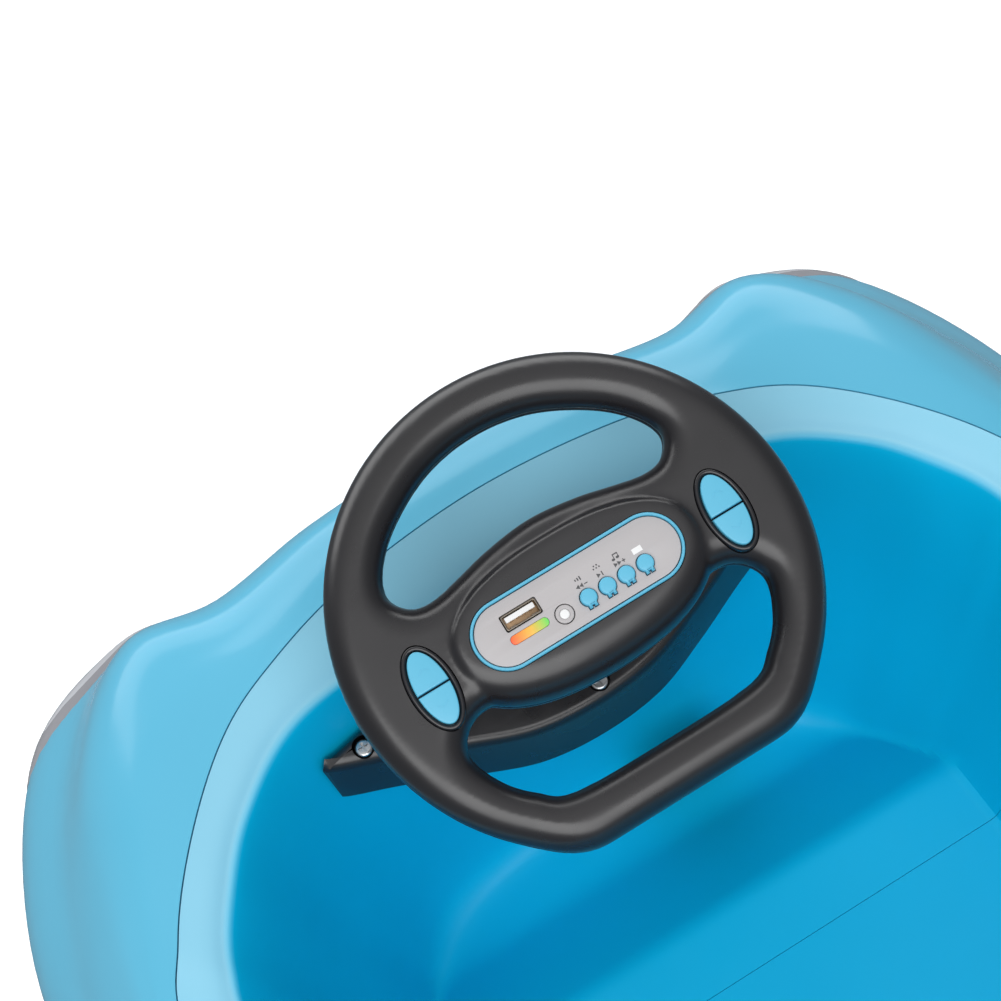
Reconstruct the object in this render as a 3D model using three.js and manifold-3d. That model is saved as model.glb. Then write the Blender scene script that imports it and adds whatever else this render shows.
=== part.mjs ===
// A child's ride-on car: a moulded body and tub, a jointed steering train, two driven rear wheels.
// Millimetres. +X is the car's right, +Y its front, +Z up. The ground is z = 0.
import * as THREE from 'three';
import { mergeVertices } from 'three/addons/utils/BufferGeometryUtils.js';
import Module from 'manifold-3d';

const wasm = await Module();
wasm.setup();

// ---------- Driving dimensions ----------
const WALL = 3.5;
const GAP = 0.3;
const RING_STEPS = 2;
const LEVEL_STEPS = 2;

const WHEEL_RADIUS = 86;
const RIM_TUBE_RADIUS = 10.3;
const WHEEL_CENTRE = new THREE.Vector3(0, 172, 372);
const COLUMN_TILT = THREE.MathUtils.degToRad(19);
const COLUMN_RADIUS = 6.5;

const SEAT_HEIGHT = 152;
const SEAT_FRONT_Y = 121;
const FLOOR_HEIGHT = 121;
const SEAT_SPLIT_Y = 92;

const FRONT_AXLE = { y: 210, z: 58, radius: 58, width: 38, x: 195, pinX: 165 };
const REAR_AXLE = { y: -170, z: 78, radius: 78, width: 50, x: 222 };
const FRONT_ARCH_RADIUS = 80;
const REAR_ARCH_RADIUS = 92;
const SHAFT_Y = 232;
const CRANK_LENGTH = 28;
const KNUCKLE_ARM = 50;
const TIE_ROD_Z = 120;

const PILL = { halfLength: 39.1, radius: 10.9, ring: 1.5 };
const POD = { halfWidth: 46, halfHeight: 29.6, y: 1.3, height: 13 };
const OVAL = { x: 58.3, y: -2.3, halfWidth: 6.1, halfHeight: 13.6, rim: 2.2 };
const AUDIO_BUTTONS_X = [1.9, 9.4, 16.9, 24.4];

// ---------- Materials ----------
const paint = (color, roughness, metalness = 0) =>
  new THREE.MeshStandardMaterial({ color, roughness, metalness });
const MATERIALS = {
  bodyBlue: paint(0x0b9bd6, 0.25),
  tubBlue: paint(0x0492cf, 0.35),
  buttonBlue: paint(0x5cc0e4, 0.35),
  satinBlack: paint(0x2b2a2f, 0.5),
  glossBlack: paint(0x15151a, 0.2),
  panelGrey: paint(0xc0bbba, 0.45),
  white: paint(0xe8e8e8, 0.4),
  steel: paint(0x9a9da0, 0.35, 0.9),
  rubber: paint(0x1b1b1c, 0.85),
  silver: paint(0xb8bcc0, 0.35, 0.3),
  lens: paint(0x82858f, 0.15),
  redLens: paint(0xa01820, 0.2),
  orange: paint(0xd8a020, 0.4),
  board: paint(0x1d6b3a, 0.6),
  trayBlack: paint(0x242427, 0.6),
};

// ---------- Helpers ----------
const car = new THREE.Group();

function addMesh(name, geometry, material, parent = car) {
  const mesh = new THREE.Mesh(geometry, material);
  mesh.name = name;
  parent.add(mesh);
  return mesh;
}

function toSolid(geometry) {
  const bare = new THREE.BufferGeometry();
  const source = geometry.index ? geometry.toNonIndexed() : geometry;
  bare.setAttribute('position', source.getAttribute('position'));
  const merged = mergeVertices(bare, 1e-4);
  return new wasm.Manifold(new wasm.Mesh({
    numProp: 3,
    vertProperties: merged.attributes.position.array,
    triVerts: new Uint32Array(merged.index.array),
  }));
}

function toGeometry(solid) {
  const { vertProperties, triVerts } = solid.getMesh();
  const geometry = new THREE.BufferGeometry();
  geometry.setAttribute('position', new THREE.BufferAttribute(vertProperties, 3));
  geometry.setIndex(new THREE.BufferAttribute(triVerts, 1));
  geometry.computeVertexNormals();
  return geometry;
}

const cut = (geometry, ...tools) =>
  toGeometry(tools.reduce((solid, tool) => solid.subtract(toSolid(tool)), toSolid(geometry)));
const join = (geometry, ...others) =>
  toGeometry(others.reduce((solid, other) => solid.add(toSolid(other)), toSolid(geometry)));
const overlap = (geometry, other) => toGeometry(toSolid(geometry).intersect(toSolid(other)));

// A box given by its two opposite corners.
function boxFrom(low, high) {
  const size = high.map((value, axis) => value - low[axis]);
  const middle = high.map((value, axis) => (value + low[axis]) / 2);
  return new THREE.BoxGeometry(...size).translate(...middle);
}

// A cylinder from one end to the other along X, Y or Z.
function rod(axis, radius, from, to, centre, sides = 16) {
  const geometry = new THREE.CylinderGeometry(radius, radius, to - from, sides);
  if (axis === 'x') geometry.rotateZ(Math.PI / 2);
  if (axis === 'z') geometry.rotateX(Math.PI / 2);
  const middle = (from + to) / 2;
  const [a, b] = centre;
  const place = { x: [middle, a, b], y: [a, middle, b], z: [a, b, middle] }[axis];
  return geometry.translate(...place);
}

// An outline extruded along +Z from one height to another, with an optional rounded edge.
function slab(shape, from, to, bevel = 0, segments = 8) {
  const geometry = new THREE.ExtrudeGeometry(shape, {
    depth: to - from - 2 * bevel,
    bevelEnabled: bevel > 0,
    bevelThickness: bevel,
    bevelSize: bevel,
    bevelOffset: -bevel,
    bevelSegments: 2,
    curveSegments: segments,
  });
  return geometry.translate(0, 0, from + bevel);
}

function ellipse(x, y, halfWidth, halfHeight) {
  const shape = new THREE.Shape();
  shape.absellipse(x, y, halfWidth, halfHeight, 0, 2 * Math.PI, false, 0);
  return shape;
}

function rectangle(x, y, width, height) {
  const shape = new THREE.Shape();
  shape.moveTo(x - width / 2, y - height / 2);
  shape.lineTo(x + width / 2, y - height / 2);
  shape.lineTo(x + width / 2, y + height / 2);
  shape.lineTo(x - width / 2, y + height / 2);
  shape.closePath();
  return shape;
}

function pill(halfLength, radius, y = 0) {
  const shape = new THREE.Shape();
  const straight = halfLength - radius;
  shape.moveTo(-straight, y - radius);
  shape.lineTo(straight, y - radius);
  shape.absarc(straight, y, radius, -Math.PI / 2, Math.PI / 2, false);
  shape.lineTo(-straight, y + radius);
  shape.absarc(-straight, y, radius, Math.PI / 2, (3 * Math.PI) / 2, false);
  return shape;
}

// A smooth closed outline through a few points.
function smoothOutline(points, divisions) {
  const spline = new THREE.CatmullRomCurve3(
    points.map(([x, y]) => new THREE.Vector3(x, y, 0)), true, 'catmullrom', 0.5);
  return spline.getPoints(divisions).slice(0, -1).map((p) => new THREE.Vector2(p.x, p.y));
}

const mirrorX = (geometry) => {
  const mirrored = geometry.index ? geometry.toNonIndexed() : geometry.clone();
  const place = mirrored.getAttribute('position');
  for (let i = 0; i < place.count; i += 3) {
    const corners = [i, i + 2, i + 1].map((k) => [-place.getX(k), place.getY(k), place.getZ(k)]);
    corners.forEach((corner, k) => place.setXYZ(i + k, ...corner));
  }
  mirrored.deleteAttribute('uv');
  mirrored.computeVertexNormals();
  return mirrored;
};

// Adds NAME_right as built and NAME_left as its mirror image.
function addPair(name, geometry, material) {
  addMesh(`${name}_right`, geometry, material);
  addMesh(`${name}_left`, mirrorX(geometry), material);
}

// ---------- Lofted surfaces ----------
// A ring is a closed loop through the stations of its right half, listed from front to back.
function ring(half) {
  const right = half.map(([x, y, z]) => new THREE.Vector3(x, y, z));
  const left = half.slice(1, -1).reverse().map(([x, y, z]) => new THREE.Vector3(-x, y, z));
  const loop = new THREE.CatmullRomCurve3([...right, ...left], true, 'catmullrom', 0.5);
  const count = (right.length + left.length) * RING_STEPS;
  return Array.from({ length: count }, (_, i) => loop.getPoint(i / count));
}

// Rows of points between the given rings, smooth from ring to ring.
function surface(rings) {
  const spans = (rings.length - 1) * LEVEL_STEPS;
  const columns = rings[0].map((_, i) =>
    new THREE.CatmullRomCurve3(rings.map((row) => row[i]), false, 'catmullrom', 0.5));
  return Array.from({ length: spans + 1 }, (_, j) =>
    columns.map((column) => column.getPoint(j / spans)));
}

// The same rows moved along the surface's normal. A seam drop moves the first row straight down
// instead, so that two skins that meet at a seam stay apart.
function offset(rows, distance, seamDrop = 0) {
  const last = rows.length - 1;
  return rows.map((row, j) => row.map((point, i) => {
    if (j === 0 && seamDrop > 0) return new THREE.Vector3(point.x, point.y, point.z - seamDrop);
    const next = row[(i + 1) % row.length];
    const previous = row[(i + row.length - 1) % row.length];
    const along = next.clone().sub(previous);
    const across = rows[Math.min(j + 1, last)][i].clone().sub(rows[Math.max(j - 1, 0)][i]);
    return point.clone().addScaledVector(along.cross(across).normalize(), distance);
  }));
}

// Closes rows of equal length into a solid: capped at both ends, or joined end to end.
function skin(rows, capped) {
  const count = rows[0].length;
  const points = rows.flat();
  const faces = [];
  const pairs = capped ? rows.length - 1 : rows.length;
  for (let j = 0; j < pairs; j += 1) {
    const here = j * count;
    const there = ((j + 1) % rows.length) * count;
    for (let i = 0; i < count; i += 1) {
      const next = (i + 1) % count;
      faces.push(here + i, there + i, there + next, here + i, there + next, here + next);
    }
  }
  if (capped) {
    for (const [start, forward] of [[0, true], [(rows.length - 1) * count, false]]) {
      const row = points.slice(start, start + count);
      const middle = row.reduce((sum, p) => sum.add(p), new THREE.Vector3()).divideScalar(count);
      const hub = points.push(middle) - 1;
      for (let i = 0; i < count; i += 1) {
        const edge = [start + i, start + ((i + 1) % count)];
        faces.push(hub, ...(forward ? edge : edge.reverse()));
      }
    }
  }
  const geometry = new THREE.BufferGeometry().setFromPoints(points);
  geometry.setIndex(faces);
  return facingOut(geometry);
}

function facingOut(geometry) {
  const place = geometry.getAttribute('position');
  const index = geometry.index.array;
  const corner = [new THREE.Vector3(), new THREE.Vector3(), new THREE.Vector3()];
  let volume = 0;
  for (let i = 0; i < index.length; i += 3) {
    corner.forEach((vertex, k) => vertex.fromBufferAttribute(place, index[i + k]));
    volume += corner[0].dot(corner[1].cross(corner[2]));
  }
  if (volume < 0) geometry.index.array.reverse();
  geometry.computeVertexNormals();
  return geometry;
}

// Stations moved towards a middle point in plan, at a new height.
const inset = (half, distance, height) => half.map(([x, y, z]) => {
  const reach = Math.hypot(x, y - 20);
  const scale = (reach - distance) / reach;
  return [x * scale, 20 + (y - 20) * scale, height ?? z];
});
const shrink = (half, scale, height) =>
  half.map(([x, y]) => [x * scale, 20 + (y - 20) * scale, height]);

// ---------- Guide rings of the body, from the cockpit seam out and down ----------
const SEAM = [
  [0, 253, 324], [58, 248, 322.5], [98, 237, 319.5], [126, 223.5, 316], [154, 199, 309.5],
  [177, 170, 301.5], [192, 135, 294], [203, 20, 288], [194, -75, 300], [160, -152, 335],
  [95, -207, 362], [0, -222, 370],
];
const DECK = [
  [0, 268, 321], [56, 264, 320], [99, 254, 316], [132, 254, 314], [162, 234, 307],
  [182, 196, 299], [198, 145, 290], [208, 20, 284], [202, -86, 293], [173, -175, 322],
  [103, -232, 349], [0, -246, 357],
];
const SHOULDER = [
  [0, 283, 313], [55, 281, 312], [101, 274, 308], [138, 281, 305], [169, 262, 293],
  [190, 221, 286], [207, 150, 279], [216, 20, 271], [211, -100, 279], [187, -198, 303],
  [111, -257, 328], [0, -270, 335],
];
const FLANK = [
  [0, 297, 287], [58, 296, 285], [103, 292, 280], [141, 300, 273], [177, 282, 260],
  [207, 233, 252], [227, 155, 243], [233, 20, 246], [229, -108, 251], [207, -218, 270],
  [122, -284, 290], [0, -298, 297],
];
const WAIST = [
  [0, 309, 232], [60, 308, 230], [107, 305, 222], [150, 319, 211], [200, 310, 202],
  [237, 246, 189], [247, 164, 181], [249, 20, 178], [247, -108, 180], [228, -230, 190],
  [134, -306, 202], [0, -319, 206],
];
const SKIRT = [
  [0, 300, 95], [62, 299, 95], [110, 297, 95], [152, 300, 95], [197, 288, 95],
  [227, 240, 95], [238, 164, 95], [240, 20, 95], [238, -105, 95], [218, -224, 95],
  [130, -294, 95], [0, -306, 95],
];

// ---------- Guide rings of the tub, from the seam in and down ----------
const INNER_EDGE = [
  [0, 228, 313], [62, 225, 312.5], [104, 219, 311], [134, 201, 306], [154, 180, 300],
  [168, 157, 294], [174, 125, 288], [174, 20, 282], [166, -70, 293], [138, -140, 325],
  [80, -187, 350], [0, -200, 358],
];
const WALL_TOP = [
  [0, 222, 300], [60, 219, 299.5], [100, 213, 298], [129, 196, 293], [148, 175, 287],
  [161, 153, 281], [167, 122, 275], [167, 20, 269], [159, -68, 280], [132, -135, 311],
  [76, -179, 336], [0, -191, 344],
];
const WALL_MIDDLE = [
  [0, 214, 215], [58, 211, 215], [95, 203, 213], [119, 187, 210], [133, 167, 208],
  [141, 146, 205], [144, 116, 203], [145, 20, 203], [140, -62, 205], [118, -118, 215],
  [68, -152, 225], [0, -162, 230],
];
const WALL_FOOT = [
  [0, 208, 145], [52, 205, 145], [86, 196, 144], [105, 178, 143], [113, 160, 142],
  [117, 140, 141], [119, 112, 141], [120, 20, 141], [116, -50, 141], [98, -98, 141],
  [58, -122, 141], [0, -130, 141],
];
const FLOOR_EDGE = [
  [0, 200, 123], [48, 197, 123], [80, 188, 123], [96, 171, 123], [103, 154, 123],
  [106, 136, 123], [107, 110, 123], [108, 20, 123], [104, -45, 123], [88, -88, 123],
  [52, -110, 123], [0, -117, 123],
];

// ---------- Body, tub, seat and tray ----------
const seamGap = (distance) => inset(SEAM, distance);
const bodyRows = surface([seamGap(-0.4), DECK, SHOULDER, FLANK, WAIST, SKIRT].map(ring));

function archTools(side) {
  const reach = side * 300;
  const [frontIn, rearIn] = [side * 150, side * 190];
  return [
    rod('x', FRONT_ARCH_RADIUS, Math.min(frontIn, reach), Math.max(frontIn, reach),
      [FRONT_AXLE.y, FRONT_AXLE.z], 32),
    rod('x', REAR_ARCH_RADIUS, Math.min(rearIn, reach), Math.max(rearIn, reach),
      [REAR_AXLE.y, REAR_AXLE.z], 32),
  ];
}

function makeBodyShell() {
  const shell = skin([...bodyRows, ...offset(bodyRows, -WALL, WALL).reverse()], false);
  return cut(shell, ...archTools(1), ...archTools(-1));
}

const tubRings = [
  seamGap(0.4), INNER_EDGE, WALL_TOP, WALL_MIDDLE, WALL_FOOT, FLOOR_EDGE,
  shrink(FLOOR_EDGE, 0.6, FLOOR_HEIGHT), shrink(FLOOR_EDGE, 0.1, FLOOR_HEIGHT),
].map(ring);

// Side profile of the seat step: it slopes up from the footwell and runs level to the back.
function seatStep(drop, width) {
  const shape = new THREE.Shape();
  shape.moveTo(190 - drop, FLOOR_HEIGHT - 6);
  shape.lineTo(186 - drop, FLOOR_HEIGHT - drop / 2);
  shape.quadraticCurveTo(168 - drop, FLOOR_HEIGHT + 1 - drop / 2, 158 - drop, FLOOR_HEIGHT + 8 - drop);
  shape.lineTo(SEAT_FRONT_Y + 7, SEAT_HEIGHT - 4 - drop);
  shape.quadraticCurveTo(SEAT_FRONT_Y, SEAT_HEIGHT - drop, SEAT_FRONT_Y - 9, SEAT_HEIGHT - drop);
  shape.lineTo(-150 + drop, SEAT_HEIGHT - drop);
  shape.lineTo(-150 + drop, FLOOR_HEIGHT - 6);
  const step = slab(shape, -width, width, 0, 4);
  return step.rotateX(Math.PI / 2).rotateZ(Math.PI / 2);
}

function makeTub() {
  const rows = surface(tubRings);
  const under = offset(rows, WALL, WALL);
  const shell = skin([...rows.slice().reverse(), ...under], true);
  const bowl = skin(offset(rows, WALL / 2, WALL / 2).slice(1), true);
  const step = overlap(seatStep(0, 170), bowl);
  const hollow = seatStep(WALL, 96);
  return cut(join(shell, step), hollow);
}

const tilted = new THREE.Group();
tilted.position.copy(WHEEL_CENTRE);
tilted.rotation.x = COLUMN_TILT;
tilted.updateMatrix();
car.add(tilted);

// The hole for the steering column follows the column's axis.
const columnSlot = rod('z', 11, -190, -85, [0, 0]).applyMatrix4(tilted.matrix);
const tub = makeTub();
const SWITCH_PANEL = { low: [181, -32, 262], high: [199, 32, 294] };

const aheadOfSplit = boxFrom([-400, SEAT_SPLIT_Y + GAP, 0], [400, 400, 500]);
const behindSplit = boxFrom([-400, -400, 0], [400, SEAT_SPLIT_Y - GAP, 500]);
const panelHole = boxFrom(
  SWITCH_PANEL.low.map((value) => value - GAP), [199 + GAP, 32 + GAP, 330]);

addMesh('body_shell', makeBodyShell(), MATERIALS.bodyBlue);
addMesh('cockpit_tub', cut(overlap(tub, aheadOfSplit), columnSlot), MATERIALS.tubBlue);
addMesh('seat_shell', cut(overlap(tub, behindSplit), panelHole), MATERIALS.tubBlue);

const trayRings = [
  inset(SKIRT, 7, 92), inset(SKIRT, 13, 58), inset(SKIRT, 30, 42),
  shrink(SKIRT, 0.5, 42), shrink(SKIRT, 0.1, 42),
].map(ring);

function makeTray() {
  const rows = surface(trayRings);
  const shell = skin([...rows.slice().reverse(), ...offset(rows, -WALL)], true);
  const wells = [1, -1].flatMap((side) => [
    boxFrom([Math.min(side * 145, side * 300), 122, 0], [Math.max(side * 145, side * 300), 292, 140]),
    boxFrom([Math.min(side * 190, side * 300), -268, 0], [Math.max(side * 190, side * 300), -72, 140]),
  ]);
  return cut(shell, ...wells);
}
addMesh('undertray', makeTray(), MATERIALS.trayBlack);


// ---------- Lamps: patches that stand off the body's own surface ----------
function patch(stations, levels, near, far) {
  const count = bodyRows[0].length;
  const [nearRows, farRows] = [offset(bodyRows, near), offset(bodyRows, far)];
  const [first, last] = stations;
  const loops = [];
  for (let i = first; i <= last; i += 1) {
    const column = (i + count) % count;
    const taper = Math.sin((Math.PI * (i - first + 0.6)) / (last - first + 1.2));
    const inner = levels.map((j) => nearRows[j][column]);
    const outer = levels.map((j) =>
      nearRows[j][column].clone().lerp(farRows[j][column], 0.35 + 0.65 * taper));
    loops.push([...inner, ...outer.reverse()]);
  }
  return skin(loops, true);
}

addPair('headlight_housing', patch([5, 9], [6, 7], 1.4, 4), MATERIALS.lens);
addPair('tail_light', patch([19, 21], [5, 6], 1.4, 6), MATERIALS.redLens);

// ---------- Steering wheel, in its own plane: X across, Y up the wheel, Z towards the driver ----------
const UPPER_WINDOW = [
  [0, 31.4], [18, 29.4], [31, 26.4], [42, 24.2], [50, 25.6], [54.6, 33],
  [49.6, 43.4], [38, 53.6], [20, 62.6], [0, 65.7],
];
const LOWER_WINDOW = [
  [0, -28.8], [18, -27.4], [32, -22.6], [43, -17.2], [53, -19.2], [58.8, -28],
  [54, -40.5], [46, -49.4], [35, -55.8], [0, -57],
];
const mirroredPoints = (half) =>
  [...half, ...half.slice(1, -1).reverse().map(([x, y]) => [-x, y])];

// The rim's outline is a circle with a flat bottom and rounded corners.
const RIM_FLAT = { y: -77, halfWidth: 32, corner: THREE.MathUtils.degToRad(-46) };

function rimShape() {
  const circle = new THREE.EllipseCurve(
    0, 0, WHEEL_RADIUS, WHEEL_RADIUS, RIM_FLAT.corner, Math.PI - RIM_FLAT.corner);
  const [x, y] = [Math.cos(RIM_FLAT.corner), Math.sin(RIM_FLAT.corner)]
    .map((value) => value * WHEEL_RADIUS);
  const corner = (side) => new THREE.CubicBezierCurve(
    new THREE.Vector2(side * x, y), new THREE.Vector2(side * 50, -71.6),
    new THREE.Vector2(side * 44, RIM_FLAT.y), new THREE.Vector2(side * RIM_FLAT.halfWidth, RIM_FLAT.y));
  const outline = [
    ...circle.getPoints(34), ...corner(-1).getPoints(4).slice(1),
    ...corner(1).getPoints(4).slice(1).reverse(),
  ];
  const shape = new THREE.Shape(outline);
  shape.holes.push(new THREE.Path(smoothOutline(mirroredPoints(UPPER_WINDOW), 28)));
  shape.holes.push(new THREE.Path(smoothOutline(mirroredPoints(LOWER_WINDOW), 28)));
  return shape;
}

const podShape = () => ellipse(0, POD.y, POD.halfWidth, POD.halfHeight);
const rimSolid = () => slab(rimShape(), -RIM_TUBE_RADIUS, RIM_TUBE_RADIUS, RIM_TUBE_RADIUS - 2, 14);
const halfSpace = (from, to) => boxFrom([-120, -120, from], [120, 120, to]);

const BOARD_Z = 5.8;
const FACE_Z = [8.6, 13.4];
const BEZEL_Z = [5.2, 11];

function makeFrontShell() {
  const rim = overlap(rimSolid(), halfSpace(GAP / 2, 40));
  const pod = slab(podShape(), -8, POD.height, 6);
  const whole = join(rim, overlap(pod, halfSpace(GAP / 2, 40)));
  const pocket = slab(pill(PILL.halfLength + PILL.ring + GAP, PILL.radius + PILL.ring + GAP),
    BOARD_Z - GAP, 20);
  const wells = [-1, 1].map((side) => slab(ellipse(side * OVAL.x, OVAL.y,
    OVAL.halfWidth + OVAL.rim + GAP, OVAL.halfHeight + OVAL.rim + GAP), BEZEL_Z[0] - GAP, 20));
  return cut(whole, pocket, ...wells);
}

function makeBackShell() {
  const rim = overlap(rimSolid(), halfSpace(-40, -GAP / 2));
  const pod = slab(podShape(), -18, 8, 6);
  const boreForColumn = rod('z', COLUMN_RADIUS + GAP, -40, -6, [0, 0]);
  return cut(join(rim, overlap(pod, halfSpace(-40, -GAP / 2))), boreForColumn);
}

addMesh('wheel_front_shell', makeFrontShell(), MATERIALS.satinBlack, tilted);
addMesh('wheel_back_shell', makeBackShell(), MATERIALS.satinBlack, tilted);

// ---------- Audio panel in the hub ----------
const ringHole = slab(pill(PILL.halfLength + GAP, PILL.radius + GAP), 0, 20);
const ringOuter = slab(pill(PILL.halfLength + PILL.ring, PILL.radius + PILL.ring), FACE_Z[0], 14.2);
addMesh('panel_ring', cut(ringOuter, ringHole), MATERIALS.buttonBlue, tilted);

const USB = { x: -20.6, y: 3.2, width: 13.6, height: 5.6 };
const GAUGE = { x: -20.9, y: -3.1, width: 14.6, height: 3.2 };
const JACK = { x: -7.9, y: -4.3, radius: 3.2, bore: 1.75 };
const AUDIO_BUTTON = { y: -3.7, radius: 3, travel: 1 };

function makePanelFace() {
  const face = slab(pill(PILL.halfLength, PILL.radius), ...FACE_Z);
  const holes = [
    slab(rectangle(USB.x, USB.y, USB.width + 2 * GAP, USB.height + 2 * GAP), 0, 20),
    slab(rectangle(GAUGE.x, GAUGE.y, GAUGE.width + 2 * GAP, GAUGE.height + 2 * GAP), 11, 20),
    rod('z', JACK.radius + GAP, 0, 20, [JACK.x, JACK.y]),
    ...AUDIO_BUTTONS_X.map((x) =>
      rod('z', AUDIO_BUTTON.radius + GAP, 0, 20, [x, AUDIO_BUTTON.y])),
  ];
  return cut(face, ...holes);
}
addMesh('panel_face', makePanelFace(), MATERIALS.panelGrey, tilted);

function makeUsbSocket() {
  const can = slab(rectangle(USB.x, USB.y, USB.width, USB.height), BOARD_Z + 2.2, 13.8);
  const mouth = slab(rectangle(USB.x, USB.y, USB.width - 1.2, USB.height - 1.2), 9.4, 20);
  const tongue = slab(rectangle(USB.x, USB.y + 1, USB.width - 2.6, 1.6), 9, 13.2);
  return join(cut(can, mouth), tongue);
}
addMesh('usb_socket', makeUsbSocket(), MATERIALS.steel, tilted);
addMesh('aux_jack', cut(rod('z', JACK.radius, BOARD_Z + 2.2, 13.9, [JACK.x, JACK.y]),
  rod('z', JACK.bore, 9.4, 20, [JACK.x, JACK.y])), MATERIALS.white, tilted);
addMesh('charge_indicator',
  slab(rectangle(GAUGE.x, GAUGE.y, GAUGE.width, GAUGE.height), 11 + GAP, 13.7),
  MATERIALS.orange, tilted);
addMesh('audio_board', slab(pill(PILL.halfLength, PILL.radius), BOARD_Z, BOARD_Z + 1.8),
  MATERIALS.board, tilted);

AUDIO_BUTTONS_X.forEach((x, i) => {
  const y = AUDIO_BUTTON.y;
  const cap = rod('z', AUDIO_BUTTON.radius, 9.2, 15, [x, y]);
  addMesh(`panel_button_${i + 1}`, cap, MATERIALS.buttonBlue, tilted);
});

// ---------- Oval spoke buttons, each split into an upper and a lower half ----------
const OVAL_SPLIT_Y = -2.8;
const OVAL_SIDES = { left: -1, right: 1 };

for (const [side, sign] of Object.entries(OVAL_SIDES)) {
  const x = sign * OVAL.x;
  const cup = slab(ellipse(x, OVAL.y, OVAL.halfWidth + OVAL.rim, OVAL.halfHeight + OVAL.rim), ...BEZEL_Z);
  const well = slab(ellipse(x, OVAL.y, OVAL.halfWidth + GAP, OVAL.halfHeight + GAP), 6.2, 20);
  addMesh(`bezel_${side}`, cut(cup, well), MATERIALS.glossBlack, tilted);
  const oval = slab(ellipse(x, OVAL.y, OVAL.halfWidth, OVAL.halfHeight), 7.8, 11.8);
  const upper = boxFrom([x - 20, OVAL_SPLIT_Y + 0.3, 0], [x + 20, 40, 20]);
  const lower = boxFrom([x - 20, -40, 0], [x + 20, OVAL_SPLIT_Y - 0.3, 20]);
  addMesh(`button_${side}_upper`, overlap(oval, upper), MATERIALS.buttonBlue, tilted);
  addMesh(`button_${side}_lower`, overlap(oval, lower), MATERIALS.buttonBlue, tilted);
}

// ---------- Steering column, bush and bridge ----------
const JOINT_Y = SHAFT_Y;
const JOINT_DEPTH = (JOINT_Y - WHEEL_CENTRE.y) / Math.sin(COLUMN_TILT);
const JOINT_Z = WHEEL_CENTRE.z - JOINT_DEPTH * Math.cos(COLUMN_TILT);
const BALL_RADIUS = 7.5;
const ball = new THREE.SphereGeometry(BALL_RADIUS, 16, 10).translate(0, 0, -JOINT_DEPTH);
addMesh('steering_column',
  join(rod('z', COLUMN_RADIUS, -JOINT_DEPTH, -6.6, [0, 0]), ball), MATERIALS.steel, tilted);

const BUSH = { radius: 9, from: -131, to: -104 };
const bushTube = cut(rod('z', BUSH.radius, BUSH.from, BUSH.to, [0, 0]),
  rod('z', COLUMN_RADIUS + GAP, -200, 0, [0, 0]));
addMesh('column_bush', bushTube, MATERIALS.white, tilted);

const BRIDGE_HEIGHT = 29;
const bridgeTop = (y) => 275 + (y - 175) * 0.267;
const BRIDGE_REAR = [[0, 175], [26, 177.5], [50, 186], [76, 197], [98, 205]];
const BRIDGE_FRONT_TOP = [[100, 208.5], [84, 212], [60, 216], [30, 218], [0, 218.4]];
const BRIDGE_FRONT_FOOT = [[96, 206.5], [82, 208], [59, 211.6], [30, 213.6], [0, 214]];

// One height of the bridge: its rear edge, then the front edge that follows the tub's wall.
function bridgeRow(front, drop, margin = 0) {
  const half = [...BRIDGE_REAR, ...front];
  const outline = smoothOutline(
    [...half.slice(1, -1).reverse().map(([x, y]) => [-x, y]), half[0], ...half.slice(1, -1),
      half[half.length - 1]], 36);
  const scale = 1 - margin / 60;
  return outline.map(({ x, y }) => new THREE.Vector3(x * (1 - margin / 100),
    198 + (y - 198) * scale, bridgeTop(y) - drop));
}

const SCREWS = { left: [-84, 206], centre: [4, 182], right: [84, 206] };
const SCREW_HEAD = { radius: 3.6, sink: 3.4 };

function makeBridge() {
  const body = skin([
    bridgeRow(BRIDGE_FRONT_TOP, 0, 2.4), bridgeRow(BRIDGE_FRONT_TOP, 0.7, 0.7),
    bridgeRow(BRIDGE_FRONT_TOP, 2.6), bridgeRow(BRIDGE_FRONT_FOOT, BRIDGE_HEIGHT),
  ], true);
  const bore = rod('z', BUSH.radius + GAP, -200, -60, [0, 0]).applyMatrix4(tilted.matrix);
  const sinks = Object.values(SCREWS).map(([x, y]) =>
    rod('z', SCREW_HEAD.radius + GAP, bridgeTop(y) - SCREW_HEAD.sink, 300, [x, y]));
  return cut(body, bore, ...sinks);
}
addMesh('dash_bridge', makeBridge(), MATERIALS.satinBlack);

// A pan-head screw with a cross recess.
function makeScrew([x, y]) {
  const top = bridgeTop(y) - 0.6;
  const base = bridgeTop(y) - SCREW_HEAD.sink + GAP;
  const head = rod('z', SCREW_HEAD.radius, base, top, [x, y]);
  const blades = [[2.2, 0.5], [0.5, 2.2]].map(([a, b]) =>
    boxFrom([x - a, y - b, top - 1.2], [x + a, y + b, top + 5]));
  return cut(head, ...blades);
}
for (const [side, place] of Object.entries(SCREWS)) {
  addMesh(`bridge_screw_${side}`, makeScrew(place), MATERIALS.steel);
}

// ---------- Lower shaft, tie rod, knuckles and front wheels ----------
const CRANK_Z = TIE_ROD_Z + 8;
const PIN_RADIUS = 3;

// The cup under the column's ball: a lathe profile round a hemispherical seat.
function makeCup() {
  const seat = BALL_RADIUS + GAP;
  const profile = [new THREE.Vector2(0, -seat - 6)];
  profile.push(new THREE.Vector2(8, -seat - 6), new THREE.Vector2(11, -4), new THREE.Vector2(11, -0.5));
  for (let i = 0; i <= 8; i += 1) {
    const angle = (Math.PI / 2) * (i / 8);
    profile.push(new THREE.Vector2(seat * Math.cos(angle), -0.5 - seat * Math.sin(angle)));
  }
  const cup = new THREE.LatheGeometry(profile, 20).rotateX(Math.PI / 2);
  return cup.translate(0, SHAFT_Y, JOINT_Z);
}

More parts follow.
